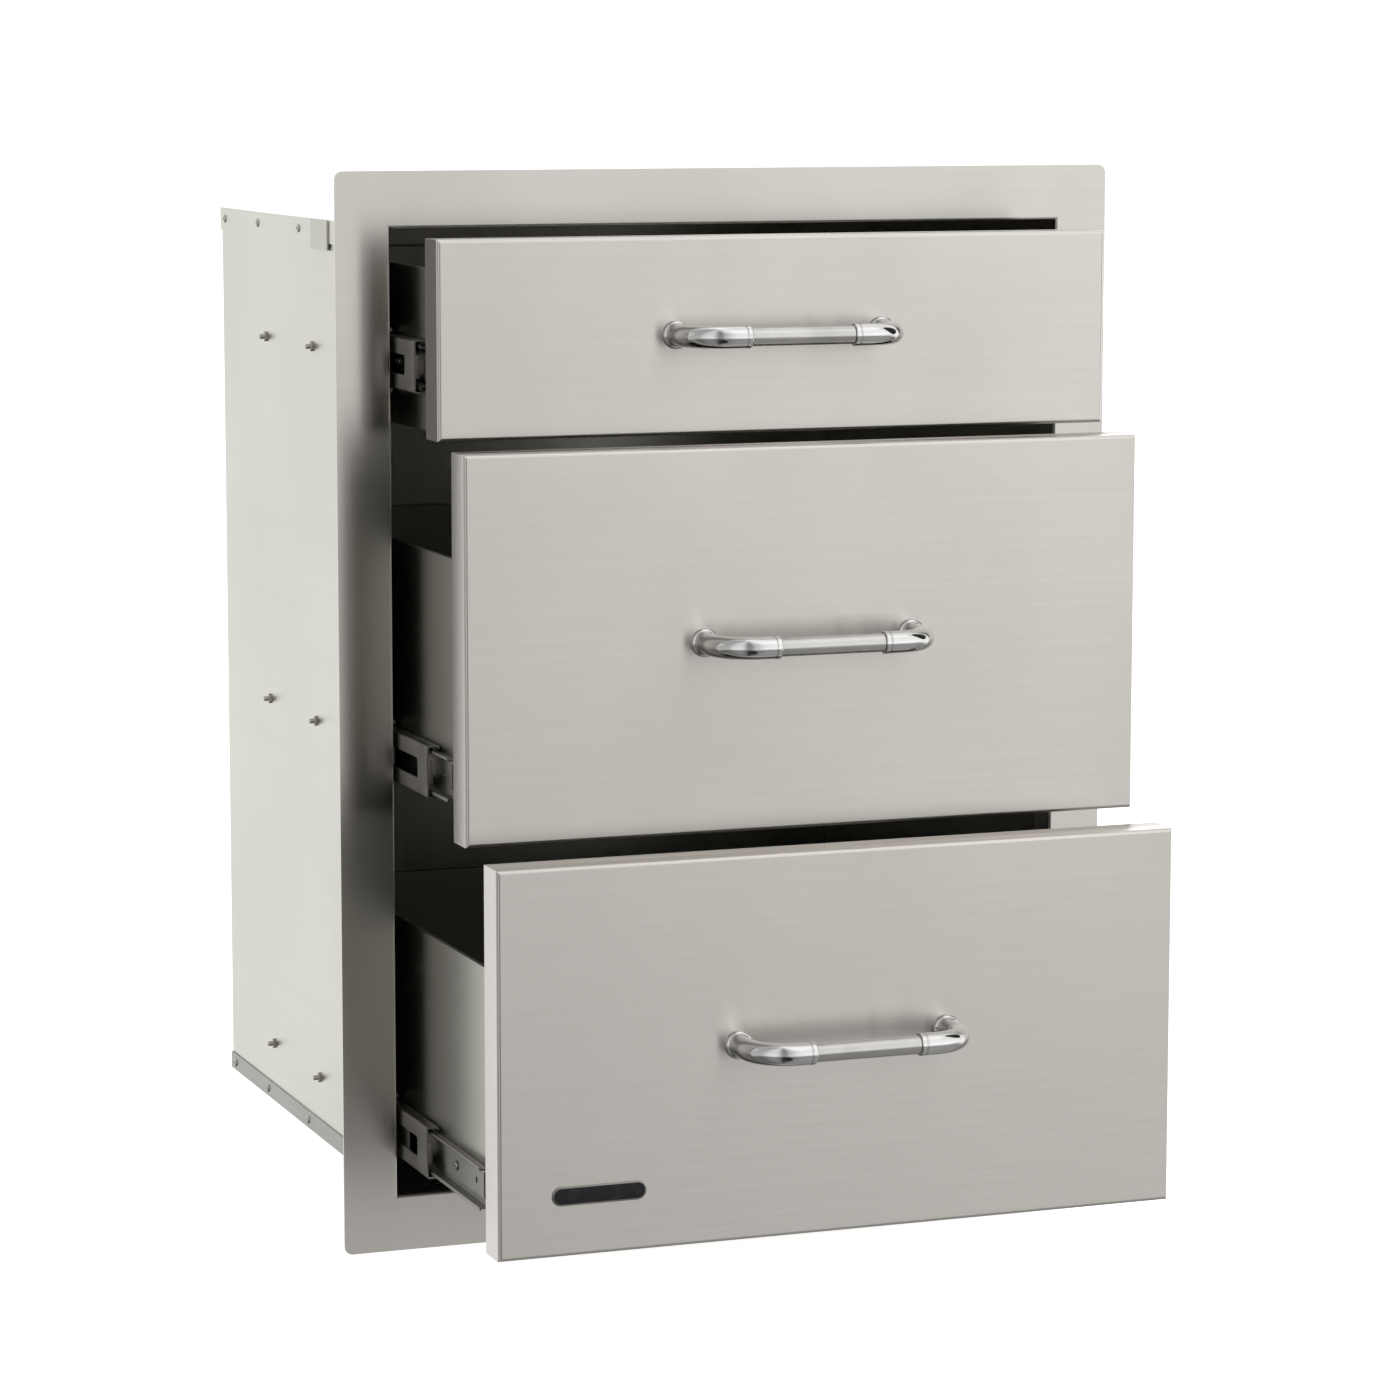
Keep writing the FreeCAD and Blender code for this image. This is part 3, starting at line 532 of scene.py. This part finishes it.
def bright_chrome(name, rgb):
    """Polished chrome: a mirror with faint haze, hairline scratches and a very slight ripple."""
    finish = Finish(name)
    haze = finish.noise(60.0, 3.0)
    hair = finish.noise((900.0, 2500.0, 2500.0))
    ripple = finish.noise((110.0, 140.0, 140.0), 1.0)
    base = finish.blended(finish.ranged(haze, 0.0, 1.0), tinted(rgb, 0.94), tinted(rgb, 1.03))
    rough = finish.combined("ADD", finish.ranged(haze, 0.035, 0.085), finish.ranged(hair, 0.0, 0.02))
    relief = finish.bump(hair, 0.0012 * MM, finish.bump(ripple, 0.03 * MM))
    return finish.finished(base, roughness=rough, normal=relief, metallic=1.0)


def black_finish(name, rgb, roughness, grain, sheen_level):
    """Moulded or enamelled black: fine grain, a little dust and lighter worn edges."""
    finish = Finish(name)
    fine = finish.noise(1400.0)
    dust = finish.noise(120.0, 3.0)
    base = finish.blended(finish.ranged(dust, 0.0, 0.5, 0.5, 0.8), tinted(rgb, 1.0), tinted(rgb, 3.0))
    base = finish.blended(finish.edges(0.4 * MM), base, tinted(rgb, 4.0))
    rough = finish.ranged(dust, roughness - 0.05, roughness + 0.1)
    relief = finish.bump(fine, grain)
    return finish.finished(base, roughness=rough, normal=relief, specular_ior_level=sheen_level)


def dark_cloth(name):
    """Matt black cloth for the cards that only reflections see."""
    finish = Finish(name)
    weave = finish.noise(700.0)
    return finish.finished(finish.blended(weave, (0.012, 0.012, 0.012), (0.03, 0.03, 0.03)), roughness=0.95)


def pale_floor(name, rgb):
    """A matt pale floor with a faint unevenness in its tone."""
    finish = Finish(name)
    drift = finish.noise(1.5)
    return finish.finished(finish.blended(drift, tinted(rgb, 0.985), tinted(rgb, 1.01)),
                           roughness=finish.ranged(drift, 0.75, 0.85),
                           emission_strength=1.0, emission_color=(*rgb, 1.0))


def finish_named(name):
    """The finish of that name, made when it is first asked for. The frame and the fronts are brushed from
    left to right, and the box from front to back."""
    found = bpy.data.materials.get(name)
    if found:
        return found
    look = bpy.context.scene.unit_finish
    face = dict(roughness=look.roughness, grain=look.grain, grain_scale=(14.0, 700.0, 2600.0),
                anisotropic=0.95, wave=0.12 * MM)
    box = dict(roughness=look.box_roughness, grain=look.box_grain, grain_scale=(140.0, 12.0, 500.0),
               anisotropic=0.6, wave=0.2 * MM)
    bar = dict(roughness=0.25, grain=0.001 * MM, pits=(60.0, 2500.0, 2500.0))
    dusty = dict(grain=0.004 * MM, dust=0.04)
    clip = dict(roughness=0.4, grain=0.003 * MM, dust=0.04, metallic=0.3)
    maker, rgb, settings = {
        "brushed_stainless": (brushed_sheet, look.steel, face),
        "box_sheet": (brushed_sheet, look.panel, box),
        # The next finish is the box steel's darker copy: painted shade on the floor panel and the trays'
        # backs
        "floor_sheet": (brushed_sheet, look.underside, box),
        "bright_chrome": (bright_chrome, look.chrome, {}),
        # The bars' colour is a darker copy of the chrome, which is painted shade; their higher roughness is a
        # satin finish
        "satin_bar": (plated_metal, look.bar, bar),
        "zinc_plate": (plated_metal, look.zinc, dict(roughness=0.36, **dusty)),
        "stud_zinc": (plated_metal, tinted(look.zinc, 1.7), dict(roughness=0.4, **dusty)),
        "clip_steel": (plated_metal, tinted(look.panel, 0.85), clip),
        "rivet_steel": (plated_metal, look.panel, dict(roughness=0.36, grain=0.003 * MM)),
        "dark_nickel": (plated_metal, tinted(look.zinc, 0.8), dict(roughness=0.3, grain=0.001 * MM)),
        "cage_strip": (plated_metal, look.cage, dict(roughness=0.28, grain=0.003 * MM)),
        "ball_steel": (plated_metal, look.chrome, dict(roughness=0.08, grain=0.0)),
        "bumper_black": (black_finish, look.rubber, dict(roughness=0.5, grain=0.01 * MM, sheen_level=0.5)),
        "black_enamel_field": (
            black_finish, look.enamel, dict(roughness=0.3, grain=0.002 * MM, sheen_level=0.12)),
    }[name]
    return maker(name, rgb, **settings)


# Pieces

class SheetMetal(bpy.types.Operator):
    """Give the frame, the box, the fronts and the trays their brushed steel"""

    bl_idname = "drawer_unit.finish_sheet_metal"
    bl_label = "Finish sheet metal"

    def execute(self, context):
        finishes = {
            "brushed_stainless": ["face_frame"] + [f"drawer_{n}_front_pan" for n in DRAWERS],
            "box_sheet": ["left_side_panel", "right_side_panel", "top_panel", "back_panel"]
            + [f"drawer_{n}_{piece}" for n in DRAWERS for piece in ("front_liner", "tray")],
            # The floor panel and the trays' backs get the darker copy of the box steel, as painted shade
            "floor_sheet": ["bottom_panel"] + [f"drawer_{n}_tray_back" for n in DRAWERS],
            "clip_steel": ["mounting_clips"],
        }
        for finish, names in finishes.items():
            for name in names:
                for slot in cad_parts[name].material_slots:
                    slot.material = finish_named(finish)
        return {"FINISHED"}


def elbow(sizes, front, level, sign):
    """A bent tube: a circle carried straight off the front, round a quarter bend and along to the bar. With s
    the distance run, the bend's angle is t = (s - straight) / bend, from 0 to a quarter turn. The middle line
    is x = foot + bend (1 - cos t) + run after the bend, y = front - (run before it + bend sin t). The radius
    runs from the rounded foot through a hollow into the tube, and over a groove to a collar at the end."""
    straight = sizes.standoff - sizes.bend_radius
    arc = QUARTER * sizes.bend_radius
    total = straight + arc + sizes.spacing / 2 - sizes.bend_radius - sizes.elbow_reach
    tube, ring, foot = (size / MM for size in (sizes.elbow_radius, sizes.collar_radius, sizes.foot_radius))
    high, end, start = sizes.foot_height / MM, total / MM, (total - sizes.collar_length) / MM
    rounded_foot = [(0.0, foot - 0.3), (0.3, foot), (high * 0.45, foot), (high * 0.65, foot - 0.2),
                    (high * 0.82, foot - 0.6), (high * 0.94, foot - 1.1), (high, foot - 1.6)]
    hollow = [(high + 0.4, tube + 0.4), (high + 1.1, tube + 0.1), (high + 2.0, tube)]
    groove = [(start - 1.0, tube), (start - 0.7, tube - 0.3), (start - 0.2, tube - 0.3)]
    collar = [(start, ring - 0.2), (start + 0.3, ring), (end - 0.5, ring), (end - 0.1, ring - 0.3),
              (end, ring - 0.6)]
    marks, radii = np.array(rounded_foot + hollow + groove + collar).T * MM
    run = np.unique(np.concatenate([marks, np.linspace(straight, straight + arc, 25)]))
    turn = np.clip((run - straight) / sizes.bend_radius, 0, QUARTER)
    out = np.minimum(run, straight) + sizes.bend_radius * np.sin(turn)
    along = sizes.bend_radius * (1 - np.cos(turn)) + np.maximum(run - straight - arc, 0)
    centres = np.stack([sign * (-sizes.spacing / 2 + along), front - out, np.full_like(run, level)], 1)
    tangents = np.stack([sign * np.sin(turn), -np.cos(turn), np.zeros_like(run)], 1)
    return carried_circle(centres, tangents, np.interp(run, marks, radii), Z_AXIS, sizes.segments)


def handle_bar(sizes, front, level):
    """A round bar: a profile turned about its middle line, with a small rounding at either end."""
    reach, radius, edge = sizes.elbow_reach - 0.1 * MM, sizes.bar_radius, 0.4 * MM
    half = [(13.0 * MM, radius), (reach - edge, radius), (reach, radius - edge)]
    profile = [(-along, width) for along, width in reversed(half)] + half
    return turned(np.array([0.0, front - sizes.standoff, level]), X_AXIS, profile, sizes.segments)


class Handles(bpy.types.Operator):
    """Build the three handles: chrome bent ends on round feet, and the satin bars between them in a darker
    copy of the chrome colour, which is painted shade
    """

    bl_idname = "drawer_unit.add_handles"
    bl_label = "Add handles"

    def execute(self, context):
        sizes = context.scene.unit_handle
        for n in DRAWERS:
            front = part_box(f"drawer_{n}_front_pan")[0].y
            level = middle_height(f"drawer_{n}_handle_bar")
            ends = joined(*(elbow(sizes, front, level, sign) for sign in (1, -1)))
            bar = handle_bar(sizes, front, level)
            for piece, solid, finish in (("elbows", ends, "bright_chrome"), ("bar", bar, "satin_bar")):
                add_piece(f"handle_{n}_{piece}", solid, f"drawer_{n}", finish,
                          [f"drawer_{n}_handle_{piece}"])
        return {"FINISHED"}


def channel_line(corners, bends):
    """The middle line of a channel, from its lower end round the web to its upper end: a rounded line up from
    the web's middle, and the same reflected below it."""
    upper = rounded_line(corners, bends)
    lower = upper[::-1] * (1, -1)
    return np.concatenate([lower[:-1], upper[1:]])


def web_middle(line):
    """How far along the line the middle of its web lies."""
    return np.hypot(*np.diff(line, axis=0).T).sum() / 2


def member_lines(sizes):
    """The members' middle lines, cabinet, middle and drawer, (inwards, up) from the side of the box."""
    half = sizes.sheet / 2
    middle_web = sizes.sheet + sizes.cage_sheet + 2 * sizes.gap + half
    step = sizes.sheet + sizes.ball
    cabinet = sizes.cabinet_half - half
    middle = cabinet - step
    drawer = middle - step
    sections = (
        (half, cabinet, sizes.cabinet_depth - half, cabinet - half - sizes.cabinet_lip),
        (middle_web, middle, sizes.middle_end - half, middle - half - sizes.middle_lip),
        (sizes.thickness - half, drawer, sizes.thickness - sizes.drawer_depth + half,
         drawer + half + sizes.drawer_lip),
    )
    return [channel_line([(web, 0.0), (web, high), (edge, high), (edge, tip)], bends)
            for (web, high, edge, tip), bends in zip(sections, MEMBER_BENDS)]


def rolled_member(line, length, sizes, places):
    """A slide member: its line carried along its length, with the openings in its web."""
    middle = web_middle(line)
    openings = [((middle, y), (half_up, half_along), corner)
                for y, half_along, half_up, corner in np.array(places) * MM]
    return bent_sheet(line, length, sizes.sheet, openings)


def stop_lug(sizes):
    """The block across a middle member's web, at its front end, sunk a little into the web."""
    web = 2 * (sizes.sheet + sizes.gap) + sizes.cage_sheet
    low = np.array([web - 0.2 * MM, 0.0, -LUG_HEIGHT / 2])
    high = np.array([web + LUG_DEPTH, sizes.sheet, LUG_HEIGHT / 2])
    return rounded_block(low, high, 0.4 * MM)


class SlideMembers(bpy.types.Operator):
    """Roll the cabinet, middle and drawer members of the six ball bearing slides"""

    bl_idname = "drawer_unit.add_slide_members"
    bl_label = "Add slide members"

    def execute(self, context):
        sizes = context.scene.unit_slide
        lines = member_lines(sizes)
        for n in DRAWERS:
            kinds = (f"cabinet_slide_{n}", f"middle_slide_{n}", f"drawer_{n}_slide")
            bodies = ("cabinet", f"middle_{n}", f"drawer_{n}")
            for kind, body, line, places in zip(kinds, bodies, lines, OPENINGS):
                for side, inward in SIDES:
                    node = f"{kind}_{side}"
                    low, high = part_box(node)
                    solid = rolled_member(line, high.y - low.y, sizes, places)
                    if kind.startswith("middle"):
                        solid = joined(solid, stop_lug(sizes))
                    wall = outer_face(f"cabinet_slide_{n}_{side}", inward)
                    solid = on_side(solid, inward, wall, low.y, middle_height(node))
                    add_piece(f"{node}_rolled", solid, body, "zinc_plate", [node])
        return {"FINISHED"}


def cage_and_balls(sizes, length, web, row, depth):
    """A ball cage with a row of windows in each of its flanges, and the balls in them. The rows lie as far
    above and below the middle as row says, and depth inwards from the box."""
    half_ball, middle = sizes.ball / 2, web + sizes.cage_sheet / 2
    line = channel_line([(middle, 0.0), (middle, row), (depth + CAGE_MARGIN, row)], (CAGE_BEND,))
    total = web_middle(line) * 2
    at = total - CAGE_MARGIN
    along = np.linspace(CAGE_END, length - CAGE_END, sizes.balls)
    half = half_ball + BALL_ROOM
    windows = [((s, y), (half, half), 0.0) for s in (total - at, at) for y in along]
    balls = (ball(np.array([depth, y, z]), half_ball * BALL_SHARE) for z in (-row, row) for y in along)
    return bent_sheet(line, length, sizes.cage_sheet, windows), joined(*balls)


class BallCages(bpy.types.Operator):
    """Build the ball cages and fill them with balls"""

    bl_idname = "drawer_unit.add_ball_cages"
    bl_label = "Add ball cages"

    def execute(self, context):
        sizes = context.scene.unit_slide
        half_ball = sizes.ball / 2
        middle_half = sizes.cabinet_half - sizes.sheet - sizes.ball
        inner_web = 2 * sizes.sheet + sizes.cage_sheet + 3 * sizes.gap
        kinds = (
            ("outer", sizes.sheet + sizes.gap, middle_half + half_ball, OUTER_BALLS),
            ("inner", inner_web, middle_half - sizes.sheet - half_ball, INNER_BALLS),
        )
        for n in DRAWERS:
            for kind, web, row, depth in kinds:
                node = f"{kind}_cages_{n}"
                low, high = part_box(node)
                pair = []
                for solid in cage_and_balls(sizes, high.y - low.y, web, row, depth):
                    sides = (on_side(solid, inward, outer_face(f"cabinet_slide_{n}_{side}", inward), low.y,
                                     middle_height(node)) for side, inward in SIDES)
                    pair.append(joined(*sides))
                add_piece(f"{node}_strips", pair[0], node, "cage_strip", [node])
                add_piece(f"{node}_balls", pair[1], node, "ball_steel")
        return {"FINISHED"}


class Bumpers(bpy.types.Operator):
    """Mould the black stops at the front of each middle member"""

    bl_idname = "drawer_unit.add_bumpers"
    bl_label = "Add bumpers"

    def execute(self, context):
        for n in DRAWERS:
            node = f"middle_bumpers_{n}"
            low, high = (np.array(corner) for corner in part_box(node))
            size = np.array([BUMPER_WIDTH, high[1] - low[1], BUMPER_HEIGHT])
            corners = (np.array([x, low[1], z]) for x in (low[0], high[0] - BUMPER_WIDTH)
                       for z in (low[2], high[2] - BUMPER_HEIGHT))
            blocks = joined(*(rounded_block(corner, corner + size, 0.5 * MM) for corner in corners))
            add_piece(f"{node}_moulded", blocks, f"middle_{n}", "bumper_black", [node])
        return {"FINISHED"}


def stud(centre, axis, sizes):
    """A threaded stud end with its nut: the nut is a turned profile with six sides, and the thread a profile
    whose radius rises and falls once in each pitch, up to a rounded tip."""
    wide, high, radius, length = sizes.nut_radius, sizes.nut_height, sizes.stud_radius, sizes.stud_length
    faces = [(0.0, wide * 0.97), (0.2 * MM, wide), (high - 0.3 * MM, wide), (high, wide * 0.9)]
    levels = np.arange(high - 0.4 * MM, length - 0.6 * MM, 0.2 * MM)
    ridges = radius - THREAD_DEPTH * (1 + np.cos(levels / THREAD_PITCH * FULL_TURN))
    tip = [(length - 0.3 * MM, radius * 0.85), (length, radius * 0.6)]
    thread = turned(centre, axis, list(zip(levels, ridges)) + tip, 20)
    return joined(turned(centre, axis, faces, 36, sides=6), thread)


def rivet(centre, axis, sizes):
    """A rivet head with the small hollow of its drawn stem: a low dome turned about the rivet's axis."""
    radius = np.array([1, 1, 0.93, 0.8, 0.6, 0.42, 0.36, 0.33, 0.15]) * sizes.rivet_radius
    height = np.array([0, 0.22, 0.45, 0.7, 0.9, 1, 0.95, 0.45, 0.4]) * sizes.rivet_height
    return turned(centre, axis, np.stack([height, radius], 1), 24)


def pan_head(centre, axis, sizes, share_of_size=1.0):
    """A pan head screw with a cross recess: a turned dome whose points within the cross's arms are let down
    towards the screw."""
    wide, high = sizes.screw_radius * share_of_size, sizes.screw_height * share_of_size
    radius = np.array([1, 1, 0.97, 0.88, 0.72, 0.55, 0.45, 0.36, 0.27, 0.18, 0.09]) * wide
    height = np.array([0, 0.3, 0.55, 0.8, 0.93, 0.98, 0.99, 1, 1, 1, 1]) * high
    points, faces = turned(centre, axis, np.stack([height, radius], 1), 48)
    away = points - centre
    up = away @ axis
    flat = away - up[:, None] * axis
    across = square_to(axis)
    a, b = abs(flat @ across), abs(flat @ np.cross(axis, across))
    within_arm = (np.minimum(a, b) < 0.13 * wide) & (np.maximum(a, b) < 0.58 * wide)
    sunk = within_arm & (up > 0.9 * high)
    return points - np.where(sunk, 0.55 * high, 0)[:, None] * axis, faces


class Fasteners(bpy.types.Operator):
    """Add the slide studs and nuts, the rivets on the lips and the screws of the handles and slides"""

    bl_idname = "drawer_unit.add_fasteners"
    bl_label = "Add fasteners"

    def execute(self, context):
        sizes = context.scene.unit_fastener
        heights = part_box("top_panel")[1].z - RIVET_DROP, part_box("bottom_panel")[0].z + RIVET_LIFT
        for side, inward in SIDES:
            panel, lip = outer_face(f"{side}_side_panel", inward), outer_face("top_panel", inward)
            out = -inward * X_AXIS
            levels = [middle_height(f"cabinet_slide_{n}_{side}") for n in DRAWERS]
            studs = (stud(np.array([panel, y, z]), out, sizes) for z in levels for y in STUD_PLACES)
            rivets = (rivet(np.array([lip, y, z]), out, sizes) for y in RIVET_PLACES for z in heights)
            add_piece(f"slide_studs_{side}", joined(*studs), "cabinet", "stud_zinc")
            add_piece(f"lip_rivets_{side}", joined(*rivets), "cabinet", "rivet_steel")
        half_spacing = context.scene.unit_handle.spacing / 2
        for n in DRAWERS:
            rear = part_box(f"drawer_{n}_front_liner")[1].y
            level = middle_height(f"drawer_{n}_handle_bar")
            places = (np.array([x, rear, level]) for x in (-half_spacing, half_spacing))
            heads = joined(*(pan_head(place, Y_AXIS, sizes) for place in places))
            add_piece(f"handle_{n}_screws", heads, f"drawer_{n}", "zinc_plate")
            screws = []
            for side, inward in SIDES:
                node = f"drawer_{n}_slide_{side}"
                face = outer_face(node, -inward) - inward * context.scene.unit_slide.sheet
                for y in SLIDE_SCREW_PLACES:
                    place = np.array([face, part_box(node)[0].y + y, middle_height(node)])
                    screws.append(pan_head(place, -inward * X_AXIS, sizes, SLIDE_SCREW_SHARE))
            add_piece(f"drawer_{n}_slide_screws", joined(*screws), f"drawer_{n}", "zinc_plate")
        return {"FINISHED"}


def oval_rings(low, high, levels, segments):
    """Ovals in the plane of the front, one inside the other: P(i, a) = the nearer end of the oval's middle
    line + (half height - inset(i)) (cos a, sin a), at y(i). They run anticlockwise as seen from the rear."""
    half = (high[2] - low[2]) / 2
    reach = (high[0] - low[0]) / 2 - half
    middle = (low + high) / 2
    angle = np.linspace(-QUARTER, 3 * QUARTER, segments, endpoint=False) + math.pi / segments
    inset, y = np.asarray(levels, float).T
    size = (half - inset)[:, None]
    x = middle[0] + np.sign(np.cos(angle)) * reach + size * np.cos(angle)
    z = middle[2] + size * np.sin(angle)
    return closed_rings(np.stack([x, np.broadcast_to(y[:, None], x.shape), z], -1))


class OvalPlate(bpy.types.Operator):
    """Build the plain oval plate of the lowest front: a nickel rim round a black enamel field"""

    bl_idname = "drawer_unit.add_plate"
    bl_label = "Add oval plate"

    def execute(self, context):
        sizes = context.scene.unit_plate
        low, high = (np.array(corner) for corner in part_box("drawer_3_badge_plate"))
        face, back, width = low[1], high[1], sizes.rim
        floor = face + sizes.field_depth
        rim = oval_rings(low, high, [
            (0.0, back), (0.0, face + 0.4 * MM), (0.1 * MM, face + 0.1 * MM), (0.3 * MM, face), (width, face),
            (width + 0.1 * MM, floor + 0.2 * MM)], sizes.segments)
        field = oval_rings(low, high, [
            (width, back - 0.1 * MM), (width, floor), (width + 0.4 * MM, floor - 0.1 * MM),
            (width + 2.0 * MM, floor - 0.2 * MM)], sizes.segments)
        add_piece("plate_rim", rim, "drawer_3", "dark_nickel", ["drawer_3_badge_plate"])
        add_piece("plate_field", field, "drawer_3", "black_enamel_field")
        return {"FINISHED"}


# Studio

def stage_sheet(name, solid, material):
    sheet = new_object(name, solid, material)
    return sheet


def disc(centre, across, up, radius, rings=24, segments=96):
    """A flat disc: P(i, a) = centre + radius * (i / rings)^2 * (cos a * across + sin a * up)."""
    size = (np.linspace(1.0, 0.0, rings, endpoint=False) ** 2 * radius)[:, None, None]
    angle = np.linspace(0, FULL_TURN, segments, endpoint=False)[:, None]
    points = centre + size * (np.cos(angle) * across + np.sin(angle) * up)
    innermost = list(range((rings - 1) * segments, rings * segments))
    return points.reshape(-1, 3), grid_faces(rings, segments, closed=True).tolist() + [innermost]


class Surround(Tree):
    """The light all round as reflections see it: a level by compass direction, times a level by height, read
    as if it lay higher behind the unit. Straight views see plain white."""

    def __init__(self, brightness):
        self.world = bpy.data.worlds.new("soft_studio")
        self.world.use_nodes = True
        super().__init__(self.world.node_tree)
        place = self.add("ShaderNodeTexCoord").outputs["Generated"]
        axes = self.add("ShaderNodeSeparateXYZ", {"Vector": place})
        x, y, z = (axes.outputs[axis] for axis in "XYZ")
        compass = self.combined("DIVIDE", self.combined("ARCTAN2", y, x), FULL_TURN)
        compass = self.combined("ADD", compass, 0.5)
        round_about = self.ramp(compass, [(angle / 360 + 0.5, level) for angle, level in ROUND_ABOUT])
        behind = self.ranged(y, 0.0, 0.1, -0.45, 0.25, smooth=True)
        height = self.combined("ADD", self.combined("MULTIPLY", z, 0.5), behind)
        height = self.combined("ADD", height, 0.5)
        up_and_down = self.ramp(height, [(level / 2 + 0.5, tone) for level, tone in UP_AND_DOWN])
        strength = self.combined("MULTIPLY", round_about, up_and_down)
        seen = self.add("ShaderNodeLightPath").outputs["Is Camera Ray"]
        strength = self.combined("MULTIPLY", self.mixed(seen, strength, PLAIN_WHITE), brightness)
        inputs = {"Color": (1.0, 1.0, 1.0, 1.0), "Strength": strength}
        light = self.add("ShaderNodeBackground", inputs).outputs["Background"]
        self.add("ShaderNodeOutputWorld", {"Surface": light})


class Studio(bpy.types.Operator):
    """Set up the pale floor, the soft light and the camera"""

    bl_idname = "drawer_unit.add_studio"
    bl_label = "Add studio"

    def execute(self, context):
        scene, studio = context.scene, context.scene.unit_studio
        round_floor = disc(np.zeros(3), X_AXIS, Y_AXIS, studio.floor_radius)
        floor = stage_sheet("floor", round_floor, pale_floor("pale_floor", studio.floor))
        floor.visible_glossy = False
        scene.world = Surround(studio.brightness).world

        cloth = dark_cloth("dark_cloth")
        for name, *vectors in DARK_CARDS:
            card = stage_sheet(name, disc(*(np.array(vector) for vector in vectors), 1.0), cloth)
            for ray in ("camera", "diffuse", "transmission", "volume_scatter", "shadow"):
                setattr(card, f"visible_{ray}", False)

        for name, place, toward, size, power in SOFTBOXES:
            light = bpy.data.lights.new(name, "AREA")
            light.shape, light.size, light.energy = "DISK", size, power
            lamp = bpy.data.objects.new(name, light)
            lamp.location = place
            lamp.rotation_euler = (Vector(toward) - lamp.location).to_track_quat("-Z", "Y").to_euler()
            scene.collection.objects.link(lamp)

        data = bpy.data.cameras.new("camera")
        data.sensor_width, data.lens = 36.0, studio.lens
        data.shift_x, data.shift_y = 0.01457, -0.01614
        data.clip_start, data.clip_end = 0.1, 60.0
        camera = bpy.data.objects.new("camera", data)
        camera.location = (-1.1716, -3.0595, 0.8414)
        camera.rotation_euler = (math.radians(82.3), 0.0, math.radians(-20.32))
        scene.collection.objects.link(camera)
        scene.camera = camera
        scene.view_settings.view_transform = "Standard"
        return {"FINISHED"}


class UnitPanel(bpy.types.Panel):
    """The steps that dress the drawer unit, and its sizes"""

    bl_idname = "VIEW3D_PT_drawer_unit"
    bl_label = "Drawer Unit"
    bl_space_type = "VIEW_3D"
    bl_region_type = "UI"
    bl_category = "Drawer Unit"

    def draw(self, context):
        for step in STEPS:
            self.layout.operator(step.bl_idname)
        for name, group in GROUPS.items():
            column = self.layout.box().column()
            column.label(text=group.__doc__)
            for key in group.__annotations__:
                column.prop(getattr(context.scene, name), key)


GROUPS = {
    "unit_handle": HandleSizes,
    "unit_slide": SlideSizes,
    "unit_fastener": FastenerSizes,
    "unit_plate": PlateSizes,
    "unit_finish": SheetFinish,
    "unit_studio": StudioSettings,
}
STEPS = (SheetMetal, Handles, SlideMembers, BallCages, Bumpers, Fasteners, OvalPlate, Studio)
CLASSES = (*GROUPS.values(), *STEPS, UnitPanel)


def register():
    for item in CLASSES:
        bpy.utils.register_class(item)
    for name, group in GROUPS.items():
        setattr(bpy.types.Scene, name, PointerProperty(type=group))


def unregister():
    for name in GROUPS:
        delattr(bpy.types.Scene, name)
    for item in reversed(CLASSES):
        bpy.utils.unregister_class(item)


def main():
    register()
    for step in STEPS:
        group, name = step.bl_idname.split(".")
        getattr(getattr(bpy.ops, group), name)()


if __name__ == "__main__":
    main()
